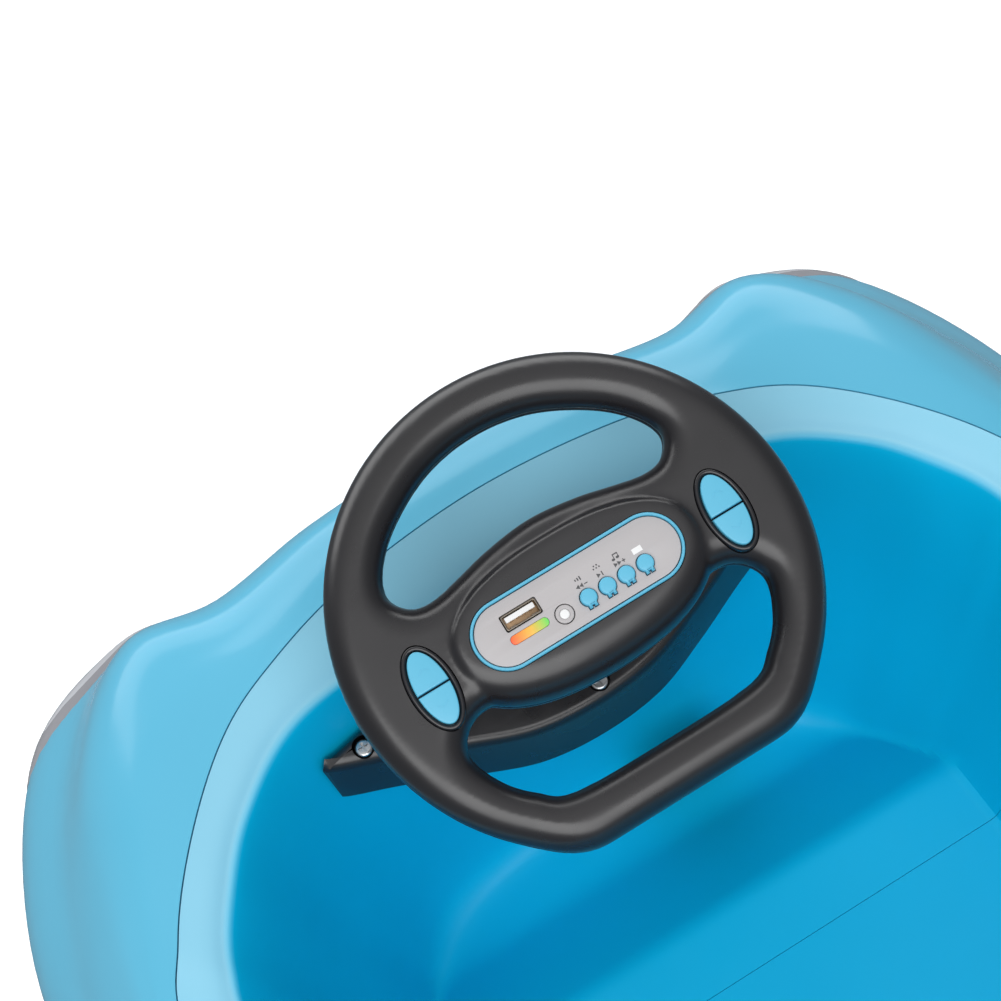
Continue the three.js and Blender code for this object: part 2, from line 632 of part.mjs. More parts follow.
function makeLowerShaft() {
  const shaft = rod('z', 5, CRANK_Z, JOINT_Z - BALL_RADIUS - 3, [0, SHAFT_Y]);
  const arm = boxFrom([-7, SHAFT_Y - 8, CRANK_Z], [7, SHAFT_Y + CRANK_LENGTH + 6, CRANK_Z + 6]);
  const pin = rod('z', PIN_RADIUS, TIE_ROD_Z + 0.6, CRANK_Z + 1, [0, SHAFT_Y + CRANK_LENGTH]);
  return join(makeCup(), shaft, arm, pin);
}
addMesh('lower_shaft', makeLowerShaft(), MATERIALS.steel);

function makeTieRod() {
  const y = SHAFT_Y + CRANK_LENGTH;
  const bar = boxFrom([-FRONT_AXLE.pinX - 8, y - 14, TIE_ROD_Z], [FRONT_AXLE.pinX + 8, y + 7, TIE_ROD_Z + 6]);
  const slots = [-FRONT_AXLE.pinX, 0, FRONT_AXLE.pinX].map((x) =>
    boxFrom([x - 4.6, y - 9.6, 0], [x + 4.6, y + 3.5, 300]));
  return cut(bar, ...slots);
}
addMesh('tie_rod', makeTieRod(), MATERIALS.steel);

const BEAM = { low: 66, high: 80 };
function makeBeam() {
  const { pinX, y } = FRONT_AXLE;
  const bar = boxFrom([-pinX - 9, y - 9, BEAM.low], [pinX + 9, y + 9, BEAM.high]);
  const foot = boxFrom([-70, y - 22, 47], [70, y + 22, BEAM.low + 1]);
  const bores = [-pinX, pinX].map((x) => rod('z', 5 + GAP, 40, 100, [x, y]));
  return cut(join(bar, foot), ...bores);
}
addMesh('front_axle_beam', makeBeam(), MATERIALS.trayBlack);

function makeKnuckle() {
  const { pinX, y, z, x, width } = FRONT_AXLE;
  const block = boxFrom([pinX - 9, y - 9, z - 9], [pinX + 8, y + 9, BEAM.low - 0.6]);
  const pin = rod('z', 5, z, TIE_ROD_Z - 8, [pinX, y]);
  const collar = rod('z', 8, BEAM.high + 0.6, BEAM.high + 6, [pinX, y]);
  const stub = rod('x', 5, pinX, x + width / 2 + 4, [y, z]);
  const arm = boxFrom([pinX - 6, y - 8, TIE_ROD_Z - 9], [pinX + 6, y + KNUCKLE_ARM + 6, TIE_ROD_Z - 3]);
  const ballPin = rod('z', PIN_RADIUS, TIE_ROD_Z - 4, TIE_ROD_Z + 5.4, [pinX, y + KNUCKLE_ARM]);
  return join(block, pin, collar, stub, arm, ballPin);
}
addPair('knuckle', makeKnuckle(), MATERIALS.steel);

// A wheel as a closed lathe profile round X, with a bore for its axle.
function makeWheel({ y, z, radius, width, x }, bore, tread) {
  const half = width / 2;
  const profile = [
    [bore, -half + 3], [radius * 0.55, -half + 3], [radius * 0.62, -half + 6],
    [radius * 0.78, -half], [radius - tread, -half], [radius, -half + tread],
    [radius, half - tread], [radius - tread, half], [radius * 0.78, half],
    [radius * 0.7, half - 7], [radius * 0.3, half - 7], [radius * 0.26, half],
    [bore, half], [bore, -half + 3],
  ].map(([r, along]) => new THREE.Vector2(r, along));
  return new THREE.LatheGeometry(profile, 28).rotateZ(-Math.PI / 2).translate(x, y, z);
}
addPair('front_wheel', makeWheel(FRONT_AXLE, 5 + GAP, 7), MATERIALS.rubber);

// ---------- Rear axle, driven wheels, gearboxes and motors ----------
const REAR_CENTRE = [REAR_AXLE.y, REAR_AXLE.z];
const AXLE_RADIUS = 5;
const RIM_RADIUS = 54;
addMesh('rear_axle', rod('x', AXLE_RADIUS, -246, 246, REAR_CENTRE), MATERIALS.steel);

function makeRearTyre() {
  const { radius, width, x, y, z } = REAR_AXLE;
  const half = width / 2;
  const profile = [
    [RIM_RADIUS + GAP, -half + 4], [RIM_RADIUS + 6, -half], [radius - 8, -half],
    [radius, -half + 8], [radius, half - 8], [radius - 8, half], [RIM_RADIUS + 6, half],
    [RIM_RADIUS + GAP, half - 4], [RIM_RADIUS + GAP, -half + 4],
  ].map(([r, along]) => new THREE.Vector2(r, along));
  return new THREE.LatheGeometry(profile, 32).rotateZ(-Math.PI / 2).translate(x, y, z);
}

function makeRearRim() {
  const { width, x, y, z } = REAR_AXLE;
  const half = width / 2;
  const bore = AXLE_RADIUS + GAP;
  const profile = [
    [bore, -half + 2], [18, -half + 2], [18, 4], [44, 8], [44, -half + 2],
    [RIM_RADIUS, -half + 2], [RIM_RADIUS, half - 2], [44, half - 2], [42, half - 10],
    [20, half - 6], [16, half], [bore, half], [bore, -half + 2],
  ].map(([r, along]) => new THREE.Vector2(r, along));
  return new THREE.LatheGeometry(profile, 28).rotateZ(-Math.PI / 2).translate(x, y, z);
}
addPair('rear_tyre', makeRearTyre(), MATERIALS.rubber);
addPair('rear_rim', makeRearRim(), MATERIALS.silver);

const GEARBOX = { low: [150, -204, 50], high: [187, -112, 110] };
addPair('gearbox', cut(boxFrom(GEARBOX.low, GEARBOX.high),
  rod('x', AXLE_RADIUS + GAP, 100, 250, REAR_CENTRE)), MATERIALS.trayBlack);
addPair('motor', rod('x', 18, 92, 150 - GAP, [-135, 80]), MATERIALS.steel);

// ---------- Battery and controller under the seat ----------
addMesh('battery', boxFrom([-50, -70, 46.2], [50, 0, 93]), MATERIALS.glossBlack);
addMesh('control_box', boxFrom([-40, 20, 46.2], [40, 70, 72]), MATERIALS.trayBlack);

// ---------- Switch panel on the cockpit rim, behind the seat split ----------
function makeSwitchPanel() {
  const [x, top] = [190, SWITCH_PANEL.high[2]];
  const plate = boxFrom(SWITCH_PANEL.low, SWITCH_PANEL.high);
  return cut(plate,
    boxFrom([x - 6.3, -28.3, top - 14], [x + 6.3, -3.7, top + 9]),
    rod('z', 5.3, top - 14, top + 9, [x, 9]),
    rod('z', 5.3, top - 14, top + 9, [x, 24]));
}
addMesh('switch_panel', makeSwitchPanel(), MATERIALS.glossBlack);

const ROCKER = { x: 190, y: -16, z: 290, halfLength: 11, radius: 14 };
function makeRocker() {
  const shape = new THREE.Shape();
  shape.moveTo(-ROCKER.halfLength, 4);
  shape.quadraticCurveTo(0, -1, ROCKER.halfLength, 4);
  shape.lineTo(ROCKER.halfLength - 3, 9.5);
  shape.quadraticCurveTo(0, 5, -ROCKER.halfLength + 3, 9.5);
  shape.closePath();
  return slab(shape, -5.8, 5.8, 0, 6).rotateX(Math.PI / 2).rotateZ(Math.PI / 2)
    .translate(ROCKER.x, ROCKER.y, ROCKER.z - 4);
}
addMesh('drive_switch', makeRocker(), MATERIALS.satinBlack);
addMesh('power_button', rod('z', 5, 283.5, 297, [190, 9]), MATERIALS.buttonBlue);
addMesh('charge_socket', join(
  cut(rod('z', 5, 280.3, 295, [190, 24]), rod('z', 2.8, 283, 300, [190, 24])),
  rod('z', 1, 282, 292, [190, 24], 8)), MATERIALS.steel);

// ---------- Accelerator pedal at the front of the footwell ----------
// The plate stands up from its hinge and leans towards the driver.
const PEDAL = { x: 34, y: 193, z: 131.5, length: 43, halfWidth: 17, lean: 29, pin: 2 };

function makePedal() {
  const { x, y, z, length, halfWidth, lean, pin } = PEDAL;
  const plate = boxFrom([-halfWidth, -2.5, 2], [halfWidth, 2.5, length]);
  const barrel = rod('x', 4.2, -halfWidth, halfWidth, [0, 0]);
  const ribs = [0, 1, 2, 3].map((i) =>
    boxFrom([-halfWidth + 4, -3.6, 12 + 8 * i], [halfWidth - 4, -2, 15 + 8 * i]));
  const pedal = cut(join(plate, barrel, ...ribs), rod('x', pin + GAP, -30, 30, [0, 0]));
  return pedal.rotateX(THREE.MathUtils.degToRad(lean)).translate(x, y, z);
}

function makePedalBase() {
  const { x, y, z, halfWidth, pin } = PEDAL;
  const block = boxFrom([x - halfWidth - 5, y - 7, 125], [x + halfWidth + 5, y + 4, z + 4]);
  const slot = boxFrom([x - halfWidth - 0.6, y - 20, 126.6], [x + halfWidth + 0.6, y + 20, z + 20]);
  const hinge = rod('x', pin, x - halfWidth - 2, x + halfWidth + 2, [y, z]);
  return join(cut(block, slot), hinge);
}
addMesh('pedal_base', makePedalBase(), MATERIALS.trayBlack);
addMesh('accelerator_pedal', makePedal(), MATERIALS.satinBlack);

export default car;
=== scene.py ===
import math

import bmesh
import bpy
import numpy as np
from mathutils import Matrix, Vector
from mathutils.geometry import tessellate_polygon
from mathutils.kdtree import KDTree


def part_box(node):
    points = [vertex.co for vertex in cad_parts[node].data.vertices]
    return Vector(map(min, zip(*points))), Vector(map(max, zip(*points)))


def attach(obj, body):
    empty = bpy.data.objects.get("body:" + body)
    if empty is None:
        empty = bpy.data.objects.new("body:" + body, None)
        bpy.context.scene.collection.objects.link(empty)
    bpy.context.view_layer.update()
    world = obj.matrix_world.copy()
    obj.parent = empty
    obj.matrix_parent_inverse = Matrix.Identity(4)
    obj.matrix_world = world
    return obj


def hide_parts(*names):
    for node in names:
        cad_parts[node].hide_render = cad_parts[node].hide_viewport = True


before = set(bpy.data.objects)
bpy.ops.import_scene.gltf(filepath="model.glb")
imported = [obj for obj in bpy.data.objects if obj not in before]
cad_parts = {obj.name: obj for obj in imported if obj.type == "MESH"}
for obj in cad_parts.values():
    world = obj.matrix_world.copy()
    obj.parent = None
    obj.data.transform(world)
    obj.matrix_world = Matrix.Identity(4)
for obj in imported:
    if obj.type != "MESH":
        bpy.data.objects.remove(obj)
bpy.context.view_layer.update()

MM = 0.001

# ---------- Driving dimensions, in millimetres ----------
WALL = 3.5
FIT = 0.3  # room round a part that is let into another
SPLIT = 0.12  # half of the gap where two halves meet
PLAN_CENTRE = 20  # the y that the rings shrink towards
WHEEL_CENTRE = Vector((0, 172, 372))
WHEEL_TILT = math.radians(19)
RIM_RADIUS = 86
TUBE_RADIUS = 10.3
PARTING = 0.15
SEAT_SPLIT = 92
SHEEN_ROWS, SHEEN_FADE = 10, 5  # rows of the tub's rim band that get a painted sheen, and rows over which that fades
SEAT_HEIGHT = 152
FLOOR_HEIGHT = 121
FRONT_AXLE = {"x": 195, "y": 210, "z": 58, "radius": 58, "width": 38, "arch": 80, "inner": 150}
REAR_AXLE = {"x": 222, "y": -170, "z": 78, "radius": 78, "width": 50, "arch": 92, "inner": 190}
WHEEL_PLANE = (
    Matrix.Translation(WHEEL_CENTRE) @ Matrix.Rotation(WHEEL_TILT, 4, "X")
)

# ---------- Guide rings of the body, right half from front to back ----------
SEAM = [
    (0, 253, 324), (58, 248, 322.5), (98, 237, 319.5), (126, 223.5, 316), (154, 199, 309.5),
    (177, 170, 301.5), (192, 135, 294), (203, 20, 288), (194, -75, 300), (160, -152, 335),
    (95, -207, 362), (0, -222, 370),
]
DECK = [
    (0, 268, 321), (56, 264, 320), (99, 254, 316), (132, 254, 314), (162, 234, 307),
    (182, 196, 299), (198, 145, 290), (208, 20, 284), (202, -86, 293), (173, -175, 322),
    (103, -232, 349), (0, -246, 357),
]
SHOULDER = [
    (0, 283, 313), (55, 281, 312), (101, 274, 308), (138, 281, 305), (169, 262, 293),
    (190, 221, 286), (207, 150, 279), (216, 20, 271), (211, -100, 279), (187, -198, 303),
    (111, -257, 328), (0, -270, 335),
]
FLANK = [
    (0, 297, 287), (58, 296, 285), (103, 292, 280), (141, 300, 273), (177, 282, 260),
    (207, 233, 252), (227, 155, 243), (233, 20, 246), (229, -108, 251), (207, -218, 270),
    (122, -284, 290), (0, -298, 297),
]
WAIST = [
    (0, 309, 232), (60, 308, 230), (107, 305, 222), (150, 319, 211), (200, 310, 202),
    (237, 246, 189), (247, 164, 181), (249, 20, 178), (247, -108, 180), (228, -230, 190),
    (134, -306, 202), (0, -319, 206),
]
SKIRT = [
    (0, 300, 95), (62, 299, 95), (110, 297, 95), (152, 300, 95), (197, 288, 95),
    (227, 240, 95), (238, 164, 95), (240, 20, 95), (238, -105, 95), (218, -224, 95),
    (130, -294, 95), (0, -306, 95),
]
INNER_EDGE = [
    (0, 228, 313), (62, 225, 312.5), (104, 219, 311), (134, 201, 306), (154, 180, 300),
    (168, 157, 294), (174, 125, 288), (174, 20, 282), (166, -70, 293), (138, -140, 325),
    (80, -187, 350), (0, -200, 358),
]
WALL_TOP = [
    (0, 222, 300), (60, 219, 299.5), (100, 213, 298), (129, 196, 293), (148, 175, 287),
    (161, 153, 281), (167, 122, 275), (167, 20, 269), (159, -68, 280), (132, -135, 311),
    (76, -179, 336), (0, -191, 344),
]
WALL_MIDDLE = [
    (0, 214, 215), (58, 211, 215), (95, 203, 213), (119, 187, 210), (133, 167, 208),
    (141, 146, 205), (144, 116, 203), (145, 20, 203), (140, -62, 205), (118, -118, 215),
    (68, -152, 225), (0, -162, 230),
]
WALL_FOOT = [
    (0, 208, 145), (52, 205, 145), (86, 196, 144), (105, 178, 143), (113, 160, 142),
    (117, 140, 141), (119, 112, 141), (120, 20, 141), (116, -50, 141), (98, -98, 141),
    (58, -122, 141), (0, -130, 141),
]
FLOOR_EDGE = [
    (0, 200, 123), (48, 197, 123), (80, 188, 123), (96, 171, 123), (103, 154, 123),
    (106, 136, 123), (107, 110, 123), (108, 20, 123), (104, -45, 123), (88, -88, 123),
    (52, -110, 123), (0, -117, 123),
]


# ---------- Splines and lofts ----------
def spline(points, closed, steps):
    """Points along a uniform Catmull-Rom spline, with the given steps per span."""
    points = np.asarray(points, float)
    count = len(points)
    if closed:
        padded = np.concatenate([points[-1:], points, points[:2]])
        spans = count
    else:
        first = 2 * points[0] - points[1]
        last = 2 * points[-1] - points[-2]
        padded = np.concatenate([first[None], points, last[None]])
        spans = count - 1
    rows = []
    for span in range(spans):
        p0, p1, p2, p3 = padded[span:span + 4]
        start, end = (p2 - p0) / 2, (p3 - p1) / 2
        for step in range(steps):
            t = step / steps
            rows.append(
                p1 + start * t + (3 * (p2 - p1) - 2 * start - end) * t**2
                + (2 * (p1 - p2) + start + end) * t**3
            )
    if not closed:
        rows.append(points[-1])
    return np.array(rows)


def ring(half, steps):
    """A closed ring from its right half."""
    left = [(-x, y, z) for x, y, z in half[-2:0:-1]]
    return spline(list(half) + left, True, steps)


def inset(half, distance, height=None):
    """Stations moved towards the middle of the plan."""
    moved = []
    for x, y, z in half:
        reach = math.hypot(x, y - PLAN_CENTRE)
        scale = (reach - distance) / reach
        across, along = x * scale, PLAN_CENTRE + (y - PLAN_CENTRE) * scale
        moved.append((across, along, z if height is None else height))
    return moved


def shrink(half, scale, height):
    return [(x * scale, PLAN_CENTRE + (y - PLAN_CENTRE) * scale, height) for x, y, _ in half]


def loft(rings, ring_steps, level_steps):
    return spline([ring(half, ring_steps) for half in rings], False, level_steps)


def offset(rows, distance, drop=0.0):
    """The rows moved along the surface's normal; a drop moves the first row straight down."""
    along = np.roll(rows, -1, axis=1) - np.roll(rows, 1, axis=1)
    across = np.gradient(rows, axis=0)
    normal = np.cross(along, across)
    length = np.linalg.norm(normal, axis=2, keepdims=True)
    moved = rows + distance * normal / np.maximum(length, 1e-9)
    if drop:
        moved[0] = rows[0] - np.array([0, 0, drop])
    return moved


def skin_faces(row_count, width, closed):
    """Quads between rows of points that each close on themselves."""
    faces = []
    for j in range(row_count if closed else row_count - 1):
        here, there = j * width, ((j + 1) % row_count) * width
        for i in range(width):
            k = (i + 1) % width
            faces.append((here + i, there + i, there + k, here + k))
    return faces


# ---------- Objects ----------
def fix_normals(mesh):
    bm = bmesh.new()
    bm.from_mesh(mesh)
    bmesh.ops.remove_doubles(bm, verts=bm.verts, dist=1e-7)
    bmesh.ops.recalc_face_normals(bm, faces=bm.faces)
    bm.to_mesh(mesh)
    bm.free()


def new_object(name, data):
    made = bpy.data.objects.new(name, data)
    bpy.context.scene.collection.objects.link(made)
    return made


def make_piece(name, verts, faces, material, body, nodes=(), place=None, sharp=35):
    """A mesh piece from points in millimetres, riding on a body in place of CAD nodes."""
    mesh = bpy.data.meshes.new(name)
    mesh.from_pydata([tuple(v) for v in verts], [], faces)
    mesh.transform(Matrix.Scale(MM, 4) @ (place or Matrix.Identity(4)))
    fix_normals(mesh)
    mesh.shade_smooth()
    mesh.set_sharp_from_angle(angle=math.radians(sharp))
    piece = new_object(name, mesh)
    mesh.materials.append(material)
    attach(piece, body)
    if nodes:
        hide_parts(*nodes)
    return piece


def apply_modifiers(piece):
    graph = bpy.context.evaluated_depsgraph_get()
    mesh = bpy.data.meshes.new_from_object(piece.evaluated_get(graph))
    piece.modifiers.clear()
    piece.data = mesh


def cut_with(piece, cutters):
    """Boolean cuts, made once and applied; the cutters are thrown away."""
    for cutter in cutters:
        modifier = piece.modifiers.new("cut", "BOOLEAN")
        modifier.operation = "DIFFERENCE"
        modifier.solver = "EXACT"
        modifier.object = cutter
    apply_modifiers(piece)
    for cutter in cutters:
        bpy.data.objects.remove(cutter)
    piece.data.shade_smooth()
    piece.data.set_sharp_from_angle(angle=math.radians(35))


def cutter_from(bm):
    mesh = bpy.data.meshes.new("cutter")
    bm.to_mesh(mesh)
    bm.free()
    return new_object("cutter", mesh)


def cylinder_cutter(radius, low, high, centre, axis="X", sides=96):
    bm = bmesh.new()
    bmesh.ops.create_cone(
        bm, cap_ends=True, segments=sides, radius1=radius * MM, radius2=radius * MM,
        depth=(high - low) * MM,
    )
    middle = (low + high) / 2
    if axis == "X":
        place = Matrix.Translation(Vector((middle, *centre)) * MM)
        place = place @ Matrix.Rotation(math.pi / 2, 4, "Y")
    else:
        place = Matrix.Translation(Vector((*centre, middle)) * MM)
    bm.transform(place)
    return cutter_from(bm)


def box_cutter(low, high):
    bm = bmesh.new()
    bmesh.ops.create_cube(bm, size=1)
    size = Vector(high) - Vector(low)
    middle = (Vector(high) + Vector(low)) / 2
    bm.transform(Matrix.Translation(middle * MM) @ Matrix.Diagonal((*(size * MM), 1)))
    return cutter_from(bm)


def in_wheel_plane(cutter):
    """Moves a cutter from the steering wheel's own plane to its place in the car."""
    cutter.data.transform(Matrix.Scale(MM, 4) @ WHEEL_PLANE @ Matrix.Scale(1 / MM, 4))
    return cutter


# ---------- Flat outlines and prisms ----------
def ellipse(cx, cy, rx, ry, count=96, power=2.0):
    """An oval; a power over 2 makes it squarer."""
    turns = [2 * math.pi * i / count for i in range(count)]
    bend = 2 / power

    def side(value):
        return math.copysign(abs(value) ** bend, value)

    return [(cx + rx * side(math.cos(t)), cy + ry * side(math.sin(t))) for t in turns]


def pill(half_length, radius, count=24):
    straight = half_length - radius
    points = []
    for i in range(count + 1):
        t = -math.pi / 2 + math.pi * i / count
        points.append((straight + radius * math.cos(t), radius * math.sin(t)))
    return points + [(-x, -y) for x, y in points]


def rounded(cx, cy, width, height, radius, count=6):
    points = []
    for quarter, (sx, sy) in enumerate([(1, 1), (-1, 1), (-1, -1), (1, -1)]):
        for i in range(count + 1):
            t = math.pi / 2 * (quarter + i / count)
            points.append((
                cx + sx * (width / 2 - radius) + radius * math.cos(t),
                cy + sy * (height / 2 - radius) + radius * math.sin(t),
            ))
    return points


def grow(outline, distance):
    """An outline moved outward (or inward, if negative) along its own normals."""
    points = np.asarray(outline, float)
    before = points - np.roll(points, 1, axis=0)
    after = np.roll(points, -1, axis=0) - points
    before /= np.maximum(np.linalg.norm(before, axis=1, keepdims=True), 1e-9)
    after /= np.maximum(np.linalg.norm(after, axis=1, keepdims=True), 1e-9)
    tangent = before + after
    tangent /= np.maximum(np.linalg.norm(tangent, axis=1, keepdims=True), 1e-9)
    stretch = 1 / np.maximum(np.abs((tangent * after).sum(axis=1, keepdims=True)), 0.5)
    normal = np.stack([tangent[:, 1], -tangent[:, 0]], axis=1)
    return points + distance * stretch * normal


def signed_area(outline):
    x, y = np.asarray(outline, float).T
    return np.sum(x * np.roll(y, -1) - np.roll(x, -1) * y) / 2


def counterclockwise(outline):
    return outline if signed_area(outline) > 0 else outline[::-1]


def cap(verts, faces, loops):
    """Fills the flat region between loops of vertex numbers, the first one outermost."""
    outlines = [[Vector(verts[i]) for i in loop] for loop in loops]
    numbers = [i for loop in loops for i in loop]
    for triangle in tessellate_polygon(outlines):
        faces.append(tuple(numbers[i] for i in triangle))


def wall(verts, faces, rows):
    """Joins rows of points into a wall, and returns the first and last rows' vertex numbers."""
    start, width = len(verts), len(rows[0])
    for row in rows:
        verts.extend([tuple(map(float, point)) for point in row])
    for a, b, c, d in skin_faces(len(rows), width, False):
        faces.append((start + a, start + b, start + c, start + d))
    first = list(range(start, start + width))
    last = list(range(len(verts) - width, len(verts)))
    return first, last


def edge_rows(outline, low, high, bevel, sign, steps=4):
    """Rows up a wall from low to high whose top edge is rounded into the material."""
    rows = [[(x, y, low) for x, y in outline], [(x, y, high - bevel) for x, y in outline]]
    for step in range(1, steps + 1):
        t = math.pi / 2 * step / steps
        moved = grow(outline, -sign * bevel * (1 - math.cos(t)))
        rows.append([(x, y, high - bevel + bevel * math.sin(t)) for x, y in moved])
    return rows


def prism(outline, holes, low, high, bevel=0.5):
    verts, faces = [], []
    bottoms, tops = [], []
    for index, loop in enumerate([outline, *holes]):
        sign = 1 if index == 0 else -1
        first, last = wall(verts, faces, edge_rows(loop, low, high, bevel, sign))
        bottoms.append(first)
        tops.append(last)
    cap(verts, faces, tops)
    cap(verts, faces, bottoms)
    return verts, faces


def revolve(profile, count):
    """A solid turned round the X axis from (radius, distance along the axis) points."""
    turns = [2 * math.pi * i / count for i in range(count)]
    rows = []
    for radius, along in profile:
        rows.append([(along, radius * math.cos(t), radius * math.sin(t)) for t in turns])
    verts = [point for row in rows for point in row]
    return verts, skin_faces(len(rows), count, True)


# ---------- Materials ----------
def new_material(name, color, roughness, **sockets):
    material = bpy.data.materials.new(name)
    material.use_nodes = True
    shader = material.node_tree.nodes["Principled BSDF"]
    shader.inputs["Base Color"].default_value = (*color, 1)
    shader.inputs["Roughness"].default_value = roughness
    for socket, value in sockets.items():
        shader.inputs[socket.replace("_", " ")].default_value = value
    return material


def new_node(nodes, kind, **values):
    node = nodes.new(f"ShaderNode{kind}")
    for socket, value in values.items():
        node.inputs[socket.replace("_", " ")].default_value = value
    return node


def add_noise(material, scale, detail=3.0):
    nodes, links = material.node_tree.nodes, material.node_tree.links
    coordinates = new_node(nodes, "TexCoord")
    noise = new_node(nodes, "TexNoise", Scale=scale, Detail=detail)
    links.new(coordinates.outputs["Object"], noise.inputs["Vector"])
    return noise.outputs["Fac"]


def spread(material, source, low, high):
    """Maps a 0 to 1 pattern onto a range of values."""
    nodes, links = material.node_tree.nodes, material.node_tree.links
    node = new_node(nodes, "MapRange", From_Min=0.3, From_Max=0.7, To_Min=low, To_Max=high)
    links.new(source, node.inputs["Value"])
    return node.outputs["Result"]


def add_bump(material, source, strength, distance):
    nodes, links = material.node_tree.nodes, material.node_tree.links
    bump = new_node(nodes, "Bump", Strength=strength, Distance=distance)
    links.new(source, bump.inputs["Height"])
    links.new(bump.outputs["Normal"], nodes["Principled BSDF"].inputs["Normal"])


def add_variation(material, dark, light, scale):
    """The base colour drifts between two close shades."""
    nodes, links = material.node_tree.nodes, material.node_tree.links
    mix = nodes.new("ShaderNodeMix")
    mix.data_type = "RGBA"
    mix.inputs["A"].default_value = (*dark, 1)
    mix.inputs["B"].default_value = (*light, 1)
    links.new(spread(material, add_noise(material, scale, 2), 0, 1), mix.inputs["Factor"])
    links.new(mix.outputs["Result"], nodes["Principled BSDF"].inputs["Base Color"])


def vary_roughness(material, scale, low, high):
    links = material.node_tree.links
    shader = material.node_tree.nodes["Principled BSDF"]
    links.new(spread(material, add_noise(material, scale), low, high), shader.inputs["Roughness"])


def moulded_plastic(name, dark, light, rough_low, rough_high, grain, depth, **sockets):
    """Moulded plastic: colour drift, uneven gloss and a fine surface grain."""
    material = new_material(name, light, rough_low, **sockets)
    add_variation(material, dark, light, 9)
    vary_roughness(material, 60, rough_low, rough_high)
    add_bump(material, add_noise(material, grain, 4), 0.25, depth)
    return material


def paint_rim_sheen(material, color):
    """Painted sheen: the base colour turns paler where the mesh's rim attribute says so."""
    nodes, links = material.node_tree.nodes, material.node_tree.links
    shader = nodes["Principled BSDF"]
    before = shader.inputs["Base Color"].links[0].from_socket
    mark = nodes.new("ShaderNodeAttribute")
    mark.attribute_name = "rim"
    mix = nodes.new("ShaderNodeMix")
    mix.data_type = "RGBA"
    mix.inputs["B"].default_value = (*color, 1)
    links.new(mark.outputs["Fac"], mix.inputs["Factor"])
    links.new(before, mix.inputs["A"])
    links.new(mix.outputs["Result"], shader.inputs["Base Color"])


def metal(name, color, roughness, scratch_scale=900):
    material = new_material(name, color, roughness, Metallic=1.0)
    vary_roughness(material, 250, roughness - 0.06, roughness + 0.12)
    add_bump(material, add_noise(material, scratch_scale, 5), 0.15, 0.00004)
    add_variation(material, [0.86 * c for c in color], color, 120)
    return material


GLOSS_BLUE = moulded_plastic(
    "gloss_blue", (0.095, 0.41, 0.59), (0.105, 0.43, 0.615), 0.2, 0.26, 500, 0.000003,
    Coat_Weight=0.3, Coat_Roughness=0.12, Coat_IOR=1.38, Specular_IOR_Level=0.2)
TUB_BLUE = moulded_plastic(
    "tub_blue", (0.0, 0.395, 0.65), (0.001, 0.42, 0.68), 0.36, 0.44, 700, 0.000006,
    Specular_IOR_Level=0.22)
# Painted sheen: the tub's rim band is tinted a paler blue.
paint_rim_sheen(TUB_BLUE, (0.24, 0.56, 0.72))
BUTTON_BLUE = moulded_plastic(
    "button_blue", (0.09, 0.42, 0.6), (0.11, 0.45, 0.64), 0.3, 0.38, 1500, 0.00002)
SATIN_BLACK = moulded_plastic(
    "satin_black", (0.009, 0.0085, 0.010), (0.013, 0.012, 0.014), 0.26, 0.33, 2600, 0.00003,
    Specular_IOR_Level=0.6)
GLOSS_BLACK = moulded_plastic(
    "gloss_black", (0.008, 0.008, 0.01), (0.012, 0.012, 0.015), 0.14, 0.22, 1200, 0.00002)
TRAY_BLACK = moulded_plastic(
    "tray_black", (0.018, 0.018, 0.02), (0.027, 0.027, 0.029), 0.5, 0.68, 1400, 0.0001)
TYRE_BLACK = moulded_plastic(
    "tyre_black", (0.012, 0.012, 0.013), (0.022, 0.022, 0.022), 0.68, 0.85, 800, 0.0002)
PANEL_GREY = moulded_plastic(
    "panel_grey", (0.40, 0.38, 0.385), (0.45, 0.43, 0.435), 0.36, 0.46, 3200, 0.00003)
WHITE = moulded_plastic(
    "white_plastic", (0.72, 0.72, 0.72), (0.8, 0.8, 0.8), 0.3, 0.42, 1500, 0.00002)
SILVER = moulded_plastic(
    "silver_plastic", (0.42, 0.43, 0.45), (0.5, 0.51, 0.53), 0.26, 0.36, 900, 0.00003,
    Metallic=0.5)
LAMP_GREY = moulded_plastic(
    "lamp_grey", (0.24, 0.24, 0.26), (0.3, 0.3, 0.32), 0.12, 0.2, 500, 0.00003)
LAMP_CLEAR = moulded_plastic(
    "lamp_clear", (0.42, 0.43, 0.46), (0.52, 0.53, 0.56), 0.08, 0.14, 300, 0.00003)
LAMP_RED = moulded_plastic(
    "lamp_red", (0.32, 0.006, 0.01), (0.42, 0.01, 0.015), 0.1, 0.2, 300, 0.00004)
PRINT_BLACK = moulded_plastic(
    "print_black", (0.05, 0.05, 0.055), (0.07, 0.07, 0.075), 0.4, 0.5, 2000, 0.00001)
BOARD = moulded_plastic(
    "board_green", (0.02, 0.14, 0.05), (0.03, 0.18, 0.07), 0.4, 0.5, 900, 0.00003)
STEEL = metal("zinc_steel", (0.55, 0.56, 0.57), 0.3)
USB_STEEL = metal("usb_steel", (0.2, 0.17, 0.14), 0.34)
USB_BRONZE = metal("usb_bronze", (0.3, 0.2, 0.12), 0.4)


